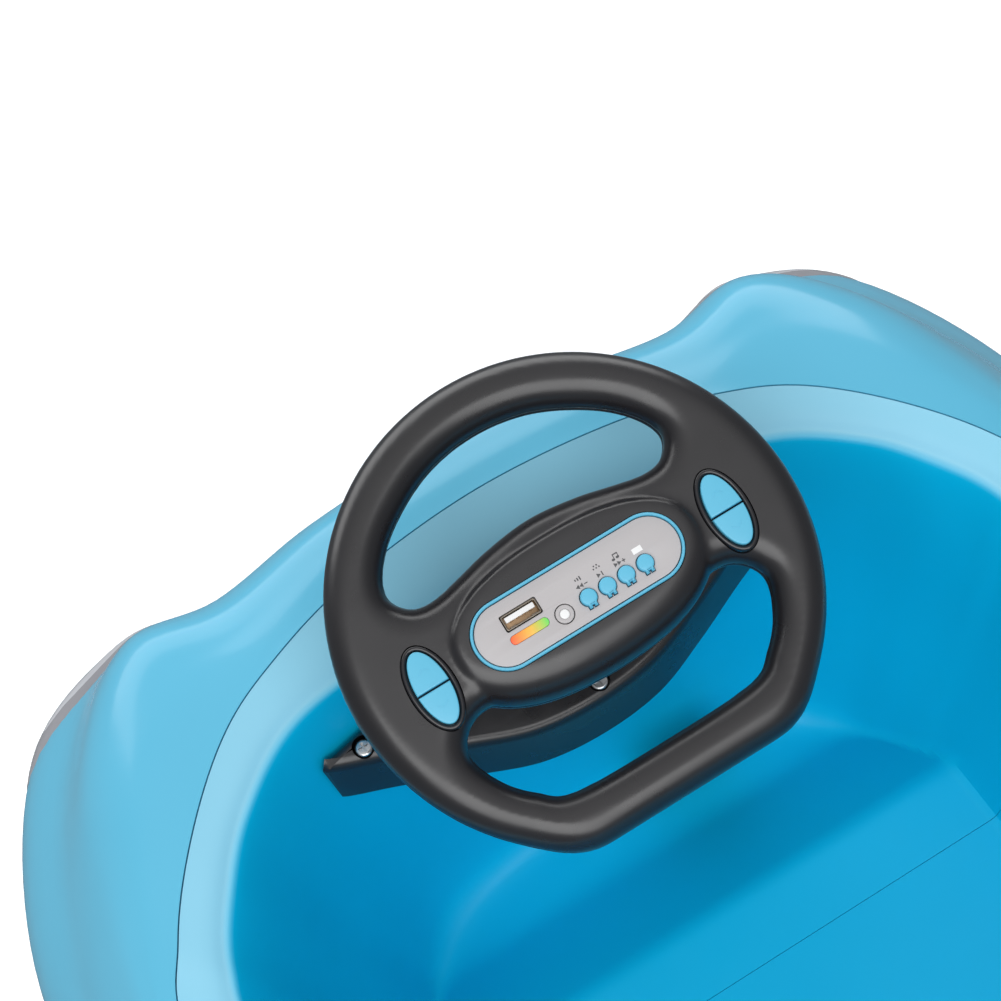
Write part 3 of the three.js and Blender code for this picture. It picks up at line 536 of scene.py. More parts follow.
def charge_scale(low_x, high_x):
    """A printed scale that runs from red on the left to green on the right."""
    material = new_material("charge_scale", (0.8, 0.4, 0.1), 0.35)
    nodes, links = material.node_tree.nodes, material.node_tree.links
    split = nodes.new("ShaderNodeSeparateXYZ")
    coordinates = new_node(nodes, "TexCoord")
    links.new(coordinates.outputs["Object"], split.inputs["Vector"])
    span = new_node(nodes, "MapRange", From_Min=low_x * MM, From_Max=high_x * MM)
    links.new(split.outputs["X"], span.inputs["Value"])
    ramp = nodes.new("ShaderNodeValToRGB")
    stops = [(0.0, (0.9, 0.1, 0.03)), (0.45, (0.95, 0.42, 0.06)), (1.0, (0.12, 0.68, 0.12))]
    ramp.color_ramp.elements.new(0.5)
    for element, (position, color) in zip(ramp.color_ramp.elements, stops):
        element.position = position
        element.color = (*color, 1)
    links.new(span.outputs["Result"], ramp.inputs["Fac"])
    links.new(ramp.outputs["Color"], nodes["Principled BSDF"].inputs["Base Color"])
    return material


# ---------- Body shell ----------
BODY_RINGS = [inset(SEAM, -0.4), DECK, SHOULDER, FLANK, WAIST, SKIRT]
BODY_STEPS, LEVEL_STEPS = 9, 8
BEYOND = 320  # well past the body, for cutters


def wheel_arches():
    cutters = []
    for axle in (FRONT_AXLE, REAR_AXLE):
        for low, high in ((axle["inner"], BEYOND), (-BEYOND, -axle["inner"])):
            cutters.append(cylinder_cutter(axle["arch"], low, high, (axle["y"], axle["z"])))
    return cutters


def build_body():
    outer = loft(BODY_RINGS, BODY_STEPS, LEVEL_STEPS)
    inner = offset(outer, -WALL, WALL)
    rows = np.concatenate([outer, inner[::-1]])
    verts = rows.reshape(-1, 3)
    faces = skin_faces(len(rows), rows.shape[1], True)
    piece = make_piece("body_skin", verts, faces, GLOSS_BLUE, "chassis", ["body_shell"])
    cut_with(piece, wheel_arches())


# ---------- Tub and seat ----------
TUB_RINGS = [
    inset(SEAM, 0.22), INNER_EDGE, WALL_TOP, WALL_MIDDLE, WALL_FOOT, FLOOR_EDGE,
    *[shrink(FLOOR_EDGE, size, FLOOR_HEIGHT) for size in (0.88, 0.74, 0.6, 0.46, 0.32, 0.18, 0.04)],
]
STEP_FOOT = {"y": 158, "z": 129, "rise": 19, "run": 30}  # a point and the slope of the seat step
STEP_ROUNDING = {"crest": 3, "foot": 10, "wall": 5}
COLUMN_SLOT = {"radius": 11, "low": -190, "high": -85}


def smooth_max(a, b, reach):
    """The larger of two heights, rounded over where they are less than the reach apart."""
    blend = np.clip(0.5 + 0.5 * (a - b) / reach, 0, 1)
    return b + (a - b) * blend + reach * blend * (1 - blend)


def step_height(y):
    """The seat step's height: up the slope from the footwell, then level."""
    slope = STEP_FOOT["z"] + (STEP_FOOT["y"] - y) * STEP_FOOT["rise"] / STEP_FOOT["run"]
    top = -smooth_max(-slope, -SEAT_HEIGHT * np.ones_like(y), STEP_ROUNDING["crest"])
    under_floor = (FLOOR_HEIGHT - 4) * np.ones_like(y)
    return smooth_max(top, under_floor, STEP_ROUNDING["foot"])


def tub_rows():
    rows = loft(TUB_RINGS, 14, 9)
    under = offset(rows, WALL, WALL)
    heights = rows[..., 2]
    raised = smooth_max(heights, step_height(rows[..., 1]), STEP_ROUNDING["wall"])
    near_seat = heights < SEAT_HEIGHT + 12
    rows[..., 2] = np.where(near_seat, raised, heights)
    return rows, under


def half_of(rows, under, keep_front):
    """One side of the tub, cut across at the seat split, as a closed shell."""
    width = rows.shape[1]
    shell = np.concatenate([rows[::-1], under])
    verts = [tuple(v) for v in shell.reshape(-1, 3)]
    faces = skin_faces(len(shell), width, False)
    bm = bmesh.new()
    points = [bm.verts.new(v) for v in verts]
    for face in faces:
        bm.faces.new([points[i] for i in face])
    bm.faces.new(points[:width])
    bm.faces.new(points[-width:][::-1])
    place = SEAT_SPLIT + (SPLIT if keep_front else -SPLIT)
    bmesh.ops.bisect_plane(
        bm, geom=bm.verts[:] + bm.edges[:] + bm.faces[:], plane_co=(0, place, 0),
        plane_no=(0, 1, 0), clear_inner=keep_front, clear_outer=not keep_front,
    )
    open_edges = [edge for edge in bm.edges if edge.is_boundary]
    bmesh.ops.holes_fill(bm, edges=open_edges, sides=0)
    bm.verts.index_update()
    made = [tuple(v.co) for v in bm.verts], [tuple(v.index for v in f.verts) for f in bm.faces]
    bm.free()
    return made


def mark_rim_sheen(piece, rows):
    """Marks the flat rim beside the seam in a mesh attribute, for a painted sheen that makes it
    about as pale as the body.
    """
    width = rows.shape[1]
    tree = KDTree(rows.shape[0] * width)
    for index, point in enumerate(rows.reshape(-1, 3)):
        tree.insert(point * MM, index)
    tree.balance()
    mark = piece.data.attributes.new("rim", "FLOAT", "POINT")
    for vertex, value in zip(piece.data.vertices, mark.data):
        level = tree.find(vertex.co)[1] // width
        value.value = min(max((SHEEN_ROWS + SHEEN_FADE - level) / SHEEN_FADE, 0), 1)


def build_tub():
    rows, under = tub_rows()
    front = make_piece(
        "tub_skin", *half_of(rows, under, True), TUB_BLUE, "chassis", ["cockpit_tub"])
    slot = cylinder_cutter(
        COLUMN_SLOT["radius"], COLUMN_SLOT["low"], COLUMN_SLOT["high"], (0, 0), "Z", 48)
    cut_with(front, [in_wheel_plane(slot)])
    seat = make_piece(
        "seat_skin", *half_of(rows, under, False), TUB_BLUE, "chassis", ["seat_shell"])
    low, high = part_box("switch_panel")
    hole = box_cutter(
        [value / MM - FIT for value in low], [high[0] / MM + FIT, high[1] / MM + FIT, 330])
    cut_with(seat, [hole])
    # The rim band of both halves gets the painted sheen.
    for piece in (front, seat):
        mark_rim_sheen(piece, rows)


build_body()
build_tub()


# ---------- Undertray and lamps ----------
TRAY_RINGS = [
    inset(SKIRT, 7, 92), inset(SKIRT, 13, 58), inset(SKIRT, 30, 42),
    shrink(SKIRT, 0.5, 42), shrink(SKIRT, 0.05, 42),
]
# The tray's wheel wells: inner side, back and front.
TRAY_WELLS = ((145, 122, 292), (190, -268, -72))
WELL_TOP = 140
# Lamps lie on the body between two stations and two levels of its rings.
HEADLIGHT = {
    "first": 2.2, "last": 4.2, "top": 3.1, "bottom": 3.75, "near": -1.0, "far": 2.6, "slant": 0.9,
}
LENS = {
    "first": 2.5, "last": 3.9, "top": 3.22, "bottom": 3.62, "near": 0.4, "far": 3.4, "slant": 0.62,
}
TAIL_LAMP = {"first": 9.5, "last": 10.5, "top": 2.5, "bottom": 3.0, "near": -1.0, "far": 4}
PATCH_STEPS = 12


def build_tray():
    rows = loft(TRAY_RINGS, 6, 6)
    shell = np.concatenate([rows[::-1], offset(rows, -WALL)])
    width = rows.shape[1]
    faces = skin_faces(len(shell), width, False)
    faces.append(tuple(range(width)))
    faces.append(tuple(range(len(shell) * width - 1, (len(shell) - 1) * width - 1, -1)))
    piece = make_piece(
        "tray_skin", shell.reshape(-1, 3), faces, TRAY_BLACK, "chassis", ["undertray"])
    cutters = []
    for sign in (1, -1):
        for inner, back, front in TRAY_WELLS:
            low, high = sorted((sign * inner, sign * 300))
            cutters.append(box_cutter((low, back, 0), (high, front, WELL_TOP)))
    cut_with(piece, cutters)


def body_patch(first, last, top, bottom, near, far, slant=0.0):
    """A lens-shaped pad on the body between two stations and two levels, tilted by a slant.

    Its foot is at the near distance from the skin and its middle at the far distance; a minus
    sign is under the skin.
    """
    steps = PATCH_STEPS
    rows = loft(BODY_RINGS, steps, steps)
    near_rows, far_rows = offset(rows, near), offset(rows, far)
    columns = range(int(first * steps), int(last * steps) + 1)
    levels = range(int(top * steps), int(bottom * steps) + 1)
    middle, reach = (levels[0] + levels[-1]) / 2, (levels[-1] - levels[0]) / 2
    verts = []
    for index, column in enumerate(columns):
        along = math.sin(math.pi * (index + 0.5) / len(columns))
        height = max(along, 0.02) ** 0.4
        tilt = slant * steps * (index / (len(columns) - 1) - 0.5)
        column %= rows.shape[1]
        inner, outer = [], []
        for level in levels:
            pick = middle + tilt + (level - middle) * height
            low = int(min(pick, len(rows) - 2))
            part = pick - low
            near_point = near_rows[low, column] * (1 - part) + near_rows[low + 1, column] * part
            far_point = far_rows[low, column] * (1 - part) + far_rows[low + 1, column] * part
            swell = 1 - ((level - middle) / (reach + 0.3)) ** 4
            inner.append(near_point)
            outer.append(near_point + (far_point - near_point) * (0.3 + 0.7 * along) * swell)
        verts.extend(inner + outer[::-1])
    width = 2 * len(levels)
    faces = skin_faces(len(columns), width, False)
    faces.append(tuple(range(width)))
    faces.append(tuple(range(len(verts) - 1, len(verts) - width - 1, -1)))
    return verts, faces


def mirrored(verts):
    return [(-v[0], v[1], v[2]) for v in verts]


def build_lamps():
    lamps = [
        ("headlight_bezel", "headlight_housing", LAMP_GREY, HEADLIGHT),
        ("headlight_lens", "headlight_housing", LAMP_CLEAR, LENS),
        ("tail_lamp", "tail_light", LAMP_RED, TAIL_LAMP),
    ]
    for name, node, material, patch in lamps:
        verts, faces = body_patch(**patch)
        for side, points in (("right", verts), ("left", mirrored(verts))):
            make_piece(
                f"{name}_{side}", points, faces, material, "chassis", [f"{node}_{side}"])


# ---------- Steering wheel shells, in the wheel's own plane ----------
UPPER_WINDOW = [
    (0, 31.4), (18, 29.4), (31, 26.4), (42, 24.2), (50, 25.6), (54.6, 33),
    (49.6, 43.4), (38, 53.6), (20, 62.6), (0, 65.7),
]
LOWER_WINDOW = [
    (0, -28.8), (18, -27.4), (32, -22.6), (43, -17.2), (53, -19.2), (58.8, -28),
    (54, -40.5), (46, -49.4), (35, -55.8), (0, -57),
]
RIM_FLAT = {
    "y": -77, "half_width": 32, "start": math.radians(-46), "corner": (50, -71.6), "lead": 44,
}
# The pod's ovals: centre y, half width and half height, and for the ends their height over
# the parting plane.
POD_BASE = (-2.2, 50, 26.4)
POD_FACE = (2.8, 43.2, 17.4, 13.1)
POD_BACK = (1.3, 38, 19, 18)
POD_POWER = 2.3
SKIN_VOXEL = 0.85
SOFTEN_STEPS = 18
PILL = {"half_length": 39.1, "radius": 10.9, "ring": 1.4}
OVAL = {"x": 58.3, "y": -2.3, "rx": 6.1, "ry": 13.6, "rim": 2.2, "split": -2.8}
BUTTON_X = (1.9, 9.4, 16.9, 24.4)
BUTTON_Y = -3.7
BUTTON_RADIUS = 2.95
USB = {"x": -20.6, "y": 3.2, "width": 13.6, "height": 5.6}
GAUGE = {"x": -20.9, "y": -3.1, "width": 14.6, "height": 3.2}
JACK = {"x": -7.9, "y": -4.3, "radius": 3.2, "bore": 1.75}
# Heights over the parting plane.
PANEL_FOOT, PANEL_TOP, PRINT_TOP = 8.6, 13.4, 13.46
SOCKET_FOOT = 8
OVAL_FOOT = 5.2
WELL_FLOOR, WELL_CLEAR = 4.9, 30


def window(half):
    left = [(-x, y) for x, y in half[-2:0:-1]]
    return counterclockwise(spline([(x, y, 0) for x, y in list(half) + left], True, 8)[:, :2])


def bezier(p0, p1, p2, p3, count):
    points = []
    for i in range(1, count + 1):
        t = i / count
        weights = ((1 - t)**3, 3 * t * (1 - t)**2, 3 * t * t * (1 - t), t**3)
        points.append(tuple(sum(w * p[k] for w, p in zip(weights, (p0, p1, p2, p3)))
                            for k in (0, 1)))
    return points


def rim_outline():
    """A circle whose foot is flat, with a Bezier corner on each side."""
    start, foot, half = RIM_FLAT["start"], RIM_FLAT["y"], RIM_FLAT["half_width"]
    sweep, parts = math.pi - 2 * start, 150
    circle = [(RIM_RADIUS * math.cos(start + sweep * i / parts),
               RIM_RADIUS * math.sin(start + sweep * i / parts)) for i in range(parts + 1)]
    corner = bezier(circle[0], RIM_FLAT["corner"], (RIM_FLAT["lead"], foot), (half, foot), 14)
    left = [(-x, y) for x, y in corner]
    middle = [(-half + 2 * half * i / 12, foot) for i in range(1, 13)]
    return np.array(circle + left + middle + corner[-2::-1])


def tube_rows(outline, sign, reach=8.5, steps=12):
    """Rows round the rim's tube from the parting line up to its nearly flat top."""
    last = math.acos(1 - reach / TUBE_RADIUS)
    start = math.asin(PARTING / TUBE_RADIUS)
    first = start + 0.06
    moved = grow(outline, -sign * 0.35)
    rows = [[(x, y, PARTING) for x, y in moved]]
    for step in range(steps + 1):
        t = first + (last - start - 0.06) * step / steps
        moved = grow(outline, -sign * TUBE_RADIUS * (1 - math.cos(t)))
        rows.append([(x, y, TUBE_RADIUS * math.sin(t)) for x, y in moved])
    moved = grow(outline, -sign * (reach + 0.7))
    rows.append([(x, y, TUBE_RADIUS * math.sin(last) + 0.05) for x, y in moved])
    return rows


def closed_stack(rows):
    """A closed solid through a stack of rows."""
    verts, faces = [], []
    first, last = wall(verts, faces, rows)
    cap(verts, faces, [first])
    cap(verts, faces, [last])
    return verts, faces


def rim_half():
    """The rim's tube and the spokes, from the parting line up to their face."""
    verts, faces = [], []
    tops, feet = [], []
    windows = [(window(UPPER_WINDOW), -1), (window(LOWER_WINDOW), -1)]
    for outline, sign in [(rim_outline(), 1), *windows]:
        first, last = wall(verts, faces, tube_rows(outline, sign))
        feet.append(first)
        tops.append(last)
    cap(verts, faces, tops)
    cap(verts, faces, feet)
    return verts, faces


def pod_half(base, top, steps=14):
    """The hub pod: a stack of ovals from the parting line that roll over to a flat face."""
    rows = []
    for step in range(steps + 1):
        t = math.pi / 2 * step / steps
        low, high = math.cos(t), 1 - math.cos(t)
        centre, half_width, half_height = (
            base[i] * low + top[i] * high for i in range(3))
        height = PARTING + (top[3] - PARTING) * math.sin(t)
        outline = ellipse(0, centre, half_width, half_height, 144, POD_POWER)
        rows.append([(x, y, height) for x, y in outline])
    return closed_stack(rows)


def merge_and_soften(pieces, name, node):
    """Grows several closed forms into one skin and softens the creases between them."""
    verts, faces = [], []
    for part_verts, part_faces in pieces:
        start = len(verts)
        verts.extend(part_verts)
        faces.extend([tuple(start + i for i in face) for face in part_faces])
    piece = make_piece(name, verts, faces, SATIN_BLACK, "steering", [node], WHEEL_PLANE, 50)
    remesh = piece.modifiers.new("skin", "REMESH")
    remesh.mode = "VOXEL"
    remesh.voxel_size = SKIN_VOXEL * MM
    smooth = piece.modifiers.new("soften", "SMOOTH")
    smooth.factor = 0.5
    smooth.iterations = SOFTEN_STEPS
    apply_modifiers(piece)
    return piece


def outline_cutter(outline, low, high):
    verts, faces = closed_stack([[(x, y, z) for x, y in outline] for z in (low, high)])
    mesh = bpy.data.meshes.new("cutter")
    mesh.from_pydata([tuple(value * MM for value in vert) for vert in verts], [], faces)
    fix_normals(mesh)
    return in_wheel_plane(new_object("cutter", mesh))


def build_wheel():
    front = merge_and_soften(
        [rim_half(), pod_half(POD_BASE, POD_FACE)], "wheel_front", "wheel_front_shell")
    margin = PILL["ring"] + FIT
    cutters = [outline_cutter(
        pill(PILL["half_length"] + margin, PILL["radius"] + margin), 5.5, WELL_CLEAR)]
    margin = OVAL["rim"] + FIT
    for sign in (1, -1):
        well = ellipse(sign * OVAL["x"], OVAL["y"], OVAL["rx"] + margin, OVAL["ry"] + margin)
        cutters.append(outline_cutter(well, WELL_FLOOR, WELL_CLEAR))
    cut_with(front, cutters)
    back = merge_and_soften(
        [flipped(*rim_half()), flipped(*pod_half(POD_BASE, POD_BACK))],
        "wheel_back", "wheel_back_shell")
    column_bore = cylinder_cutter(6.8, -40, -6, (0, 0), "Z", 48)
    cut_with(back, [in_wheel_plane(column_bore)])


def flipped(verts, faces):
    return [(x, y, -z) for x, y, z in verts], [face[::-1] for face in faces]


# ---------- Audio panel ----------
def wheel_prism(name, outline, holes, low, high, material, nodes=(), bevel=0.5, body="steering"):
    verts, faces = prism(outline, holes, low, high, bevel)
    return make_piece(name, verts, faces, material, body, nodes, WHEEL_PLANE)


def round_button_outline(x, margin=0.0):
    """A round button with two small feet on its lower side."""
    radius, foot_top = BUTTON_RADIUS + margin, -math.sqrt(BUTTON_RADIUS**2 - 1.6**2)
    inner, outer, low = 0.45 - margin, 1.55 + margin, -3.75 - margin
    gap = -math.sqrt(radius**2 - inner**2)
    first, sweep, parts = -56, 292, 60
    turns = [math.radians(first + sweep * i / parts) for i in range(parts + 1)]
    points = [(radius * math.cos(t), radius * math.sin(t)) for t in turns]
    points += [(-outer, foot_top - 0.2), (-outer, low), (-inner, low), (-inner, gap),
               (inner, gap), (inner, low), (outer, low), (outer, foot_top - 0.2)]
    return [(x + a, BUTTON_Y + b) for a, b in points]


def inlay(part, margin=0.0, radius=1.5):
    """A rounded rectangle round one of the panel's parts."""
    return rounded(part["x"], part["y"], part["width"] + margin, part["height"] + margin, radius)


def disc(part, radius, count=48):
    return ellipse(part["x"], part["y"], radius, radius, count)


def build_panel():
    length, radius = PILL["half_length"], PILL["radius"]
    ring = pill(length + PILL["ring"], radius + PILL["ring"])
    wheel_prism("pill_ring", ring, [pill(length + FIT, radius + FIT)], PANEL_FOOT, 14.2,
                BUTTON_BLUE, ["panel_ring"], 0.7)
    holes = [inlay(USB, 0.5, 0.6), inlay(GAUGE, 0.1, 1.55), disc(JACK, JACK["radius"] + FIT)]
    holes += [round_button_outline(x, 0.28) for x in BUTTON_X]
    wheel_prism("pill_face", pill(length, radius), holes, PANEL_FOOT, PANEL_TOP,
                PANEL_GREY, ["panel_face"], 0.25)


def build_usb():
    x, y, width = USB["x"], USB["y"], USB["width"]
    mouth = inlay(USB, -1.2, 0.5)

    def part(name, outline, low, high, material, bevel, holes=()):
        wheel_prism(name, outline, holes, low, high, material, ["usb_socket"], bevel)

    part("usb_can", inlay(USB, 0, 0.8), SOCKET_FOOT, 13.75, USB_STEEL, 0.25, [mouth])
    part("usb_floor", mouth, SOCKET_FOOT, 11.4, USB_BRONZE, 0.1)
    part("usb_tongue", rounded(x, y + 0.9, width - 2.4, 1.9, 0.2), 9, 13.1, WHITE, 0.15)
    for i in range(4):
        contact = rounded(x - 3.75 + 2.5 * i, y - 0.2, 1.1, 0.35, 0.1)
        part(f"usb_contact_{i + 1}", contact, 11.2, 12.9, USB_BRONZE, 0.05)
    for i, along in enumerate((-4.2, 4.2)):
        spring = rounded(x + along, y - USB["height"] / 2 + 0.75, 2.2, 0.35, 0.12)
        part(f"usb_spring_{i + 1}", spring, 9.2, 13.4, USB_STEEL, 0.1)


def build_jack():
    bore = disc(JACK, JACK["bore"])
    wheel_prism("jack_ring", disc(JACK, JACK["radius"], 64), [bore], SOCKET_FOOT, 13.55,
                PANEL_GREY, ["aux_jack"], 0.35)
    wheel_prism("jack_dot", bore, [], SOCKET_FOOT, 13.5, WHITE, ["aux_jack"], 0.5)


def build_gauge():
    low_x = GAUGE["x"] - GAUGE["width"] / 2
    scale = charge_scale(low_x, low_x + GAUGE["width"])
    wheel_prism("charge_bar", inlay(GAUGE), [], 11.4, 13.45, scale, ["charge_indicator"], 0.3)


def build_sound_board():
    board = pill(PILL["half_length"] - 0.3, PILL["radius"] - 0.3)
    wheel_prism("sound_board", board, [], 5.8, 7.6, BOARD, ["audio_board"], 0.2)


def build_audio_buttons():
    for i, x in enumerate(BUTTON_X):
        button = wheel_prism(
            f"round_button_{i + 1}", round_button_outline(x), [], 9.3, 15, BUTTON_BLUE,
            [f"panel_button_{i + 1}"], 0.7, f"audio_button_{i + 1}")


# Printed icons: plain arrows, bars, notes and dots, with no lettering.
def arrow(cx, cy, direction):
    size, back = 0.8, 0.8 * 0.7
    return [(cx + direction * size, cy), (cx - direction * back, cy + size),
            (cx - direction * back, cy - size)][::direction]


def bar(cx, cy, width, height):
    return [(cx - width / 2, cy - height / 2), (cx + width / 2, cy - height / 2),
            (cx + width / 2, cy + height / 2), (cx - width / 2, cy + height / 2)]


def build_icons():
    """Skip back, play, skip on, a level meter, two joined notes and a grid of dots."""
    row, above = 1.0, 3.5
    x1, x2, x3, x4 = BUTTON_X
    skip_back = [arrow(x1 - 1.3, row, -1), arrow(x1 + 0.1, row, -1), bar(x1 + 1.8, row, 1.3, 0.35)]
    play = [arrow(x2 - 0.6, row, 1), bar(x2 + 0.8, row, 0.4, 1.6)]
    skip_on = [arrow(x3 - 1.3, row, 1), arrow(x3 + 0.1, row, 1),
               bar(x3 + 1.8, row, 1.3, 0.35), bar(x3 + 1.8, row, 0.35, 1.3)]
    meter = [bar(x1 + 0.9 * step, above, 0.45, 0.7 + 0.4 * (step + 1)) for step in (-1, 0, 1)]
    notes = [
        ellipse(x3 - 1.1, above - 0.7, 0.6, 0.45, 20), bar(x3 - 0.6, above, 0.28, 1.8),
        ellipse(x3 + 0.6, above - 0.5, 0.6, 0.45, 20), bar(x3 + 1.1, above + 0.2, 0.28, 1.8),
        bar(x3 + 0.25, above + 0.95, 1.98, 0.4),
    ]
    dots = [bar(x2 + step, above, 0.5, 0.5) for step in (-1.1, 0, 1.1)]
    dots += [bar(x2 + step, above + 0.9, 0.5, 0.5) for step in (-0.55, 0.55)]

    def printed(name, outline, material):
        wheel_prism(name, outline, [], PANEL_TOP - 0.1, PRINT_TOP, material, (), 0.02)

    printed("mode_patch", bar(x4, row + 0.6, 3.6, 2), WHITE)
    for i, outline in enumerate(skip_back + play + skip_on + meter + notes + dots):
        printed(f"icon_{i + 1}", outline, PRINT_BLACK)


# ---------- Spoke buttons ----------
def oval_half(x, y, keep):
    """The part of a spoke's oval above (1) or below (-1) its split."""
    split = OVAL["split"]
    outline = [(a, b) for a, b in ellipse(x, y, OVAL["rx"], OVAL["ry"], 120)
               if keep * (b - split) > SPLIT]
    outline = sorted(outline, key=lambda p: math.atan2(p[1] - split, keep * (p[0] - x)))
    return counterclockwise(outline if keep > 0 else outline[::-1])


def chevron(x, y, keep):
    points = [(-2, -0.7), (0, 0.6), (2, -0.7), (2, -0.2), (0, 1.1), (-2, -0.2)]
    return counterclockwise([(x + a, y + keep * b) for a, b in points])


def build_spoke_buttons():
    for side, sign in (("left", -1), ("right", 1)):
        x, y = sign * OVAL["x"], OVAL["y"]
        outer = ellipse(x, y, OVAL["rx"] + OVAL["rim"], OVAL["ry"] + OVAL["rim"])
        inner = ellipse(x, y, OVAL["rx"] + 0.35, OVAL["ry"] + 0.35)
        bezel = [f"bezel_{side}"]
        wheel_prism(f"oval_rim_{side}", outer, [inner], OVAL_FOOT, 11, GLOSS_BLACK, bezel, 0.9)
        wheel_prism(f"oval_floor_{side}", inner, [], OVAL_FOOT, OVAL_FOOT + 1, GLOSS_BLACK,
                    bezel, 0.2)
        for half, keep in (("upper", 1), ("lower", -1)):
            body = f"{side}_{half}_button"
            piece = wheel_prism(
                f"oval_{side}_{half}", oval_half(x, y, keep), [], 7.8, 11.8, BUTTON_BLUE,
                [f"button_{side}_{half}"], 0.6, body)
            wheel_prism(f"chevron_{side}_{half}", chevron(x, y + keep * 6.5, keep), [],
                        11.7, 11.9, BUTTON_BLUE, (), 0.03, body)


# ---------- Bridge and its screws ----------
BRIDGE_REAR = [(0, 175), (26, 177.5), (50, 186), (76, 197), (98, 205)]
BRIDGE_FRONT_TOP = [(100, 208.5), (84, 212), (60, 216), (30, 218), (0, 218.4)]
BRIDGE_FRONT_FOOT = [(96, 206.5), (82, 208), (59, 211.6), (30, 213.6), (0, 214)]
BRIDGE_HEIGHT = 29
SCREWS = {"left": (-84, 206), "centre": (4, 182), "right": (84, 206)}
SCREW = {"radius": 3.6, "sink": 3.4}


def bridge_top(y):
    """The height of the bridge's sloping top."""
    return 275 + (y - 175) * 0.267


def bridge_row(front, drop, margin=0.0):
    half = BRIDGE_REAR + front
    left = [(-x, y) for x, y in half[-2:0:-1]]
    loop = [(x, y, 0) for x, y in left + half]
    outline = counterclockwise(spline(loop, True, 10)[:, :2])
    return [(x, y, bridge_top(y) - drop) for x, y in grow(outline, -margin)]


def build_bridge():
    edge, round_in, steps = 4, 3.6, 6
    rows = [bridge_row(BRIDGE_FRONT_FOOT, BRIDGE_HEIGHT), bridge_row(BRIDGE_FRONT_TOP, edge)]
    for step in range(1, steps + 1):
        t = math.pi / 2 * step / steps
        rows.append(bridge_row(
            BRIDGE_FRONT_TOP, edge * (1 - math.sin(t)), round_in * (1 - math.cos(t))))
    verts, faces = closed_stack(rows)
    piece = make_piece("bridge", verts, faces, SATIN_BLACK, "chassis", ["dash_bridge"])
    bore = in_wheel_plane(cylinder_cutter(9.3, -200, -60, (0, 0), "Z", 64))
    sink = SCREW["radius"] + 0.7
    sinks = [cylinder_cutter(sink, bridge_top(y) - SCREW["sink"], 300, (x, y), "Z", 48)
             for x, y in SCREWS.values()]
    cut_with(piece, [bore, *sinks])


def build_screw(name, x, y):
    """A pan-head screw with a cross recess."""
    top = bridge_top(y) - 0.6
    outline = ellipse(x, y, SCREW["radius"], SCREW["radius"], 48)
    arm, half = 0.45, 2.1
    cross = [(arm, half), (-arm, half), (-arm, arm), (-half, arm), (-half, -arm), (-arm, -arm),
             (-arm, -half), (arm, -half), (arm, -arm), (half, -arm), (half, arm), (arm, arm)]
    cross = [(x + a, y + b) for a, b in cross]
    verts, faces = [], []
    first, last = wall(verts, faces, edge_rows(outline, top - 2.2, top, 1.1, 1))
    rim, floor = wall(verts, faces, [[(a, b, top) for a, b in cross],
                                     [(a, b, top - 1.3) for a, b in cross]])
    cap(verts, faces, [last, rim])
    cap(verts, faces, [floor])
    cap(verts, faces, [first])
    make_piece(f"screw_{name}", verts, faces, STEEL, "chassis", [f"bridge_screw_{name}"])


# ---------- Road wheels ----------
def place_wheel(verts, axle, sign):
    return [(sign * (x + axle["x"]), y + axle["y"], z + axle["z"]) for x, y, z in verts]


def tyre_profile(radius, half, inner, grooves):
    """A tyre's section, with grooves round its tread."""
    profile = [(inner, -half + 4), (inner + 6, -half), (radius - 9, -half), (radius - 3, -half + 3)]
    span = 2 * (half - 6)
    for i in range(grooves):
        start = -half + 6 + span * i / grooves
        profile += [(radius, start), (radius, start + span / grooves - 2.4),
                    (radius - 2.2, start + span / grooves - 2),
                    (radius - 2.2, start + span / grooves - 0.4)]
    profile += [(radius - 3, half - 3), (radius - 9, half), (inner + 6, half), (inner, half - 4)]
    return profile


def build_front_wheels():
    half = FRONT_AXLE["width"] / 2
    profile = [
        (5.3, -half + 3), (30, -half + 3), (36, -half + 6), (45, -half), (51, -half),
        (55.5, -half + 2), (58, -half + 6), (58, -4), (56.4, -3), (56.4, 3), (58, 4),
        (58, half - 6), (55.5, half - 2), (51, half), (46, half), (44.5, half - 1.5),
        (42.5, half - 7), (40, half - 8.5), (22, half - 7), (18.5, half - 5.5), (16, half - 1),
        (14.5, half), (5.3, half),
    ]
    verts, faces = revolve(profile, 128)
    for side, sign in (("right", 1), ("left", -1)):
        make_piece(f"front_roller_{side}", place_wheel(verts, FRONT_AXLE, sign), faces,
                   TYRE_BLACK, f"front_{side}_wheel", [f"front_wheel_{side}"])
        build_spokes(f"front_spoke_{side}", FRONT_AXLE, sign, 7, (17, 41), 4.2, half - 8.2,
                     half - 3, TRAY_BLACK, f"front_{side}_wheel")


def build_spokes(name, axle, sign, count, reach, width, low, high, material, body):
    """Raised ribs that run out across a wheel's outer face."""
    inner, outer = reach
    outline = [(inner, -width), (outer, -width * 0.6), (outer, width * 0.6), (inner, width)]
    base, faces = prism(outline, [], low, high, 0.9)
    for i in range(count):
        turn = 2 * math.pi * i / count
        verts = []
        for a, b, along in base:
            y, z = a * math.cos(turn) - b * math.sin(turn), a * math.sin(turn) + b * math.cos(turn)
            verts.append((sign * (axle["x"] + along), axle["y"] + y, axle["z"] + z))
        make_piece(f"{name}_{i + 1}", verts, faces, material, body)


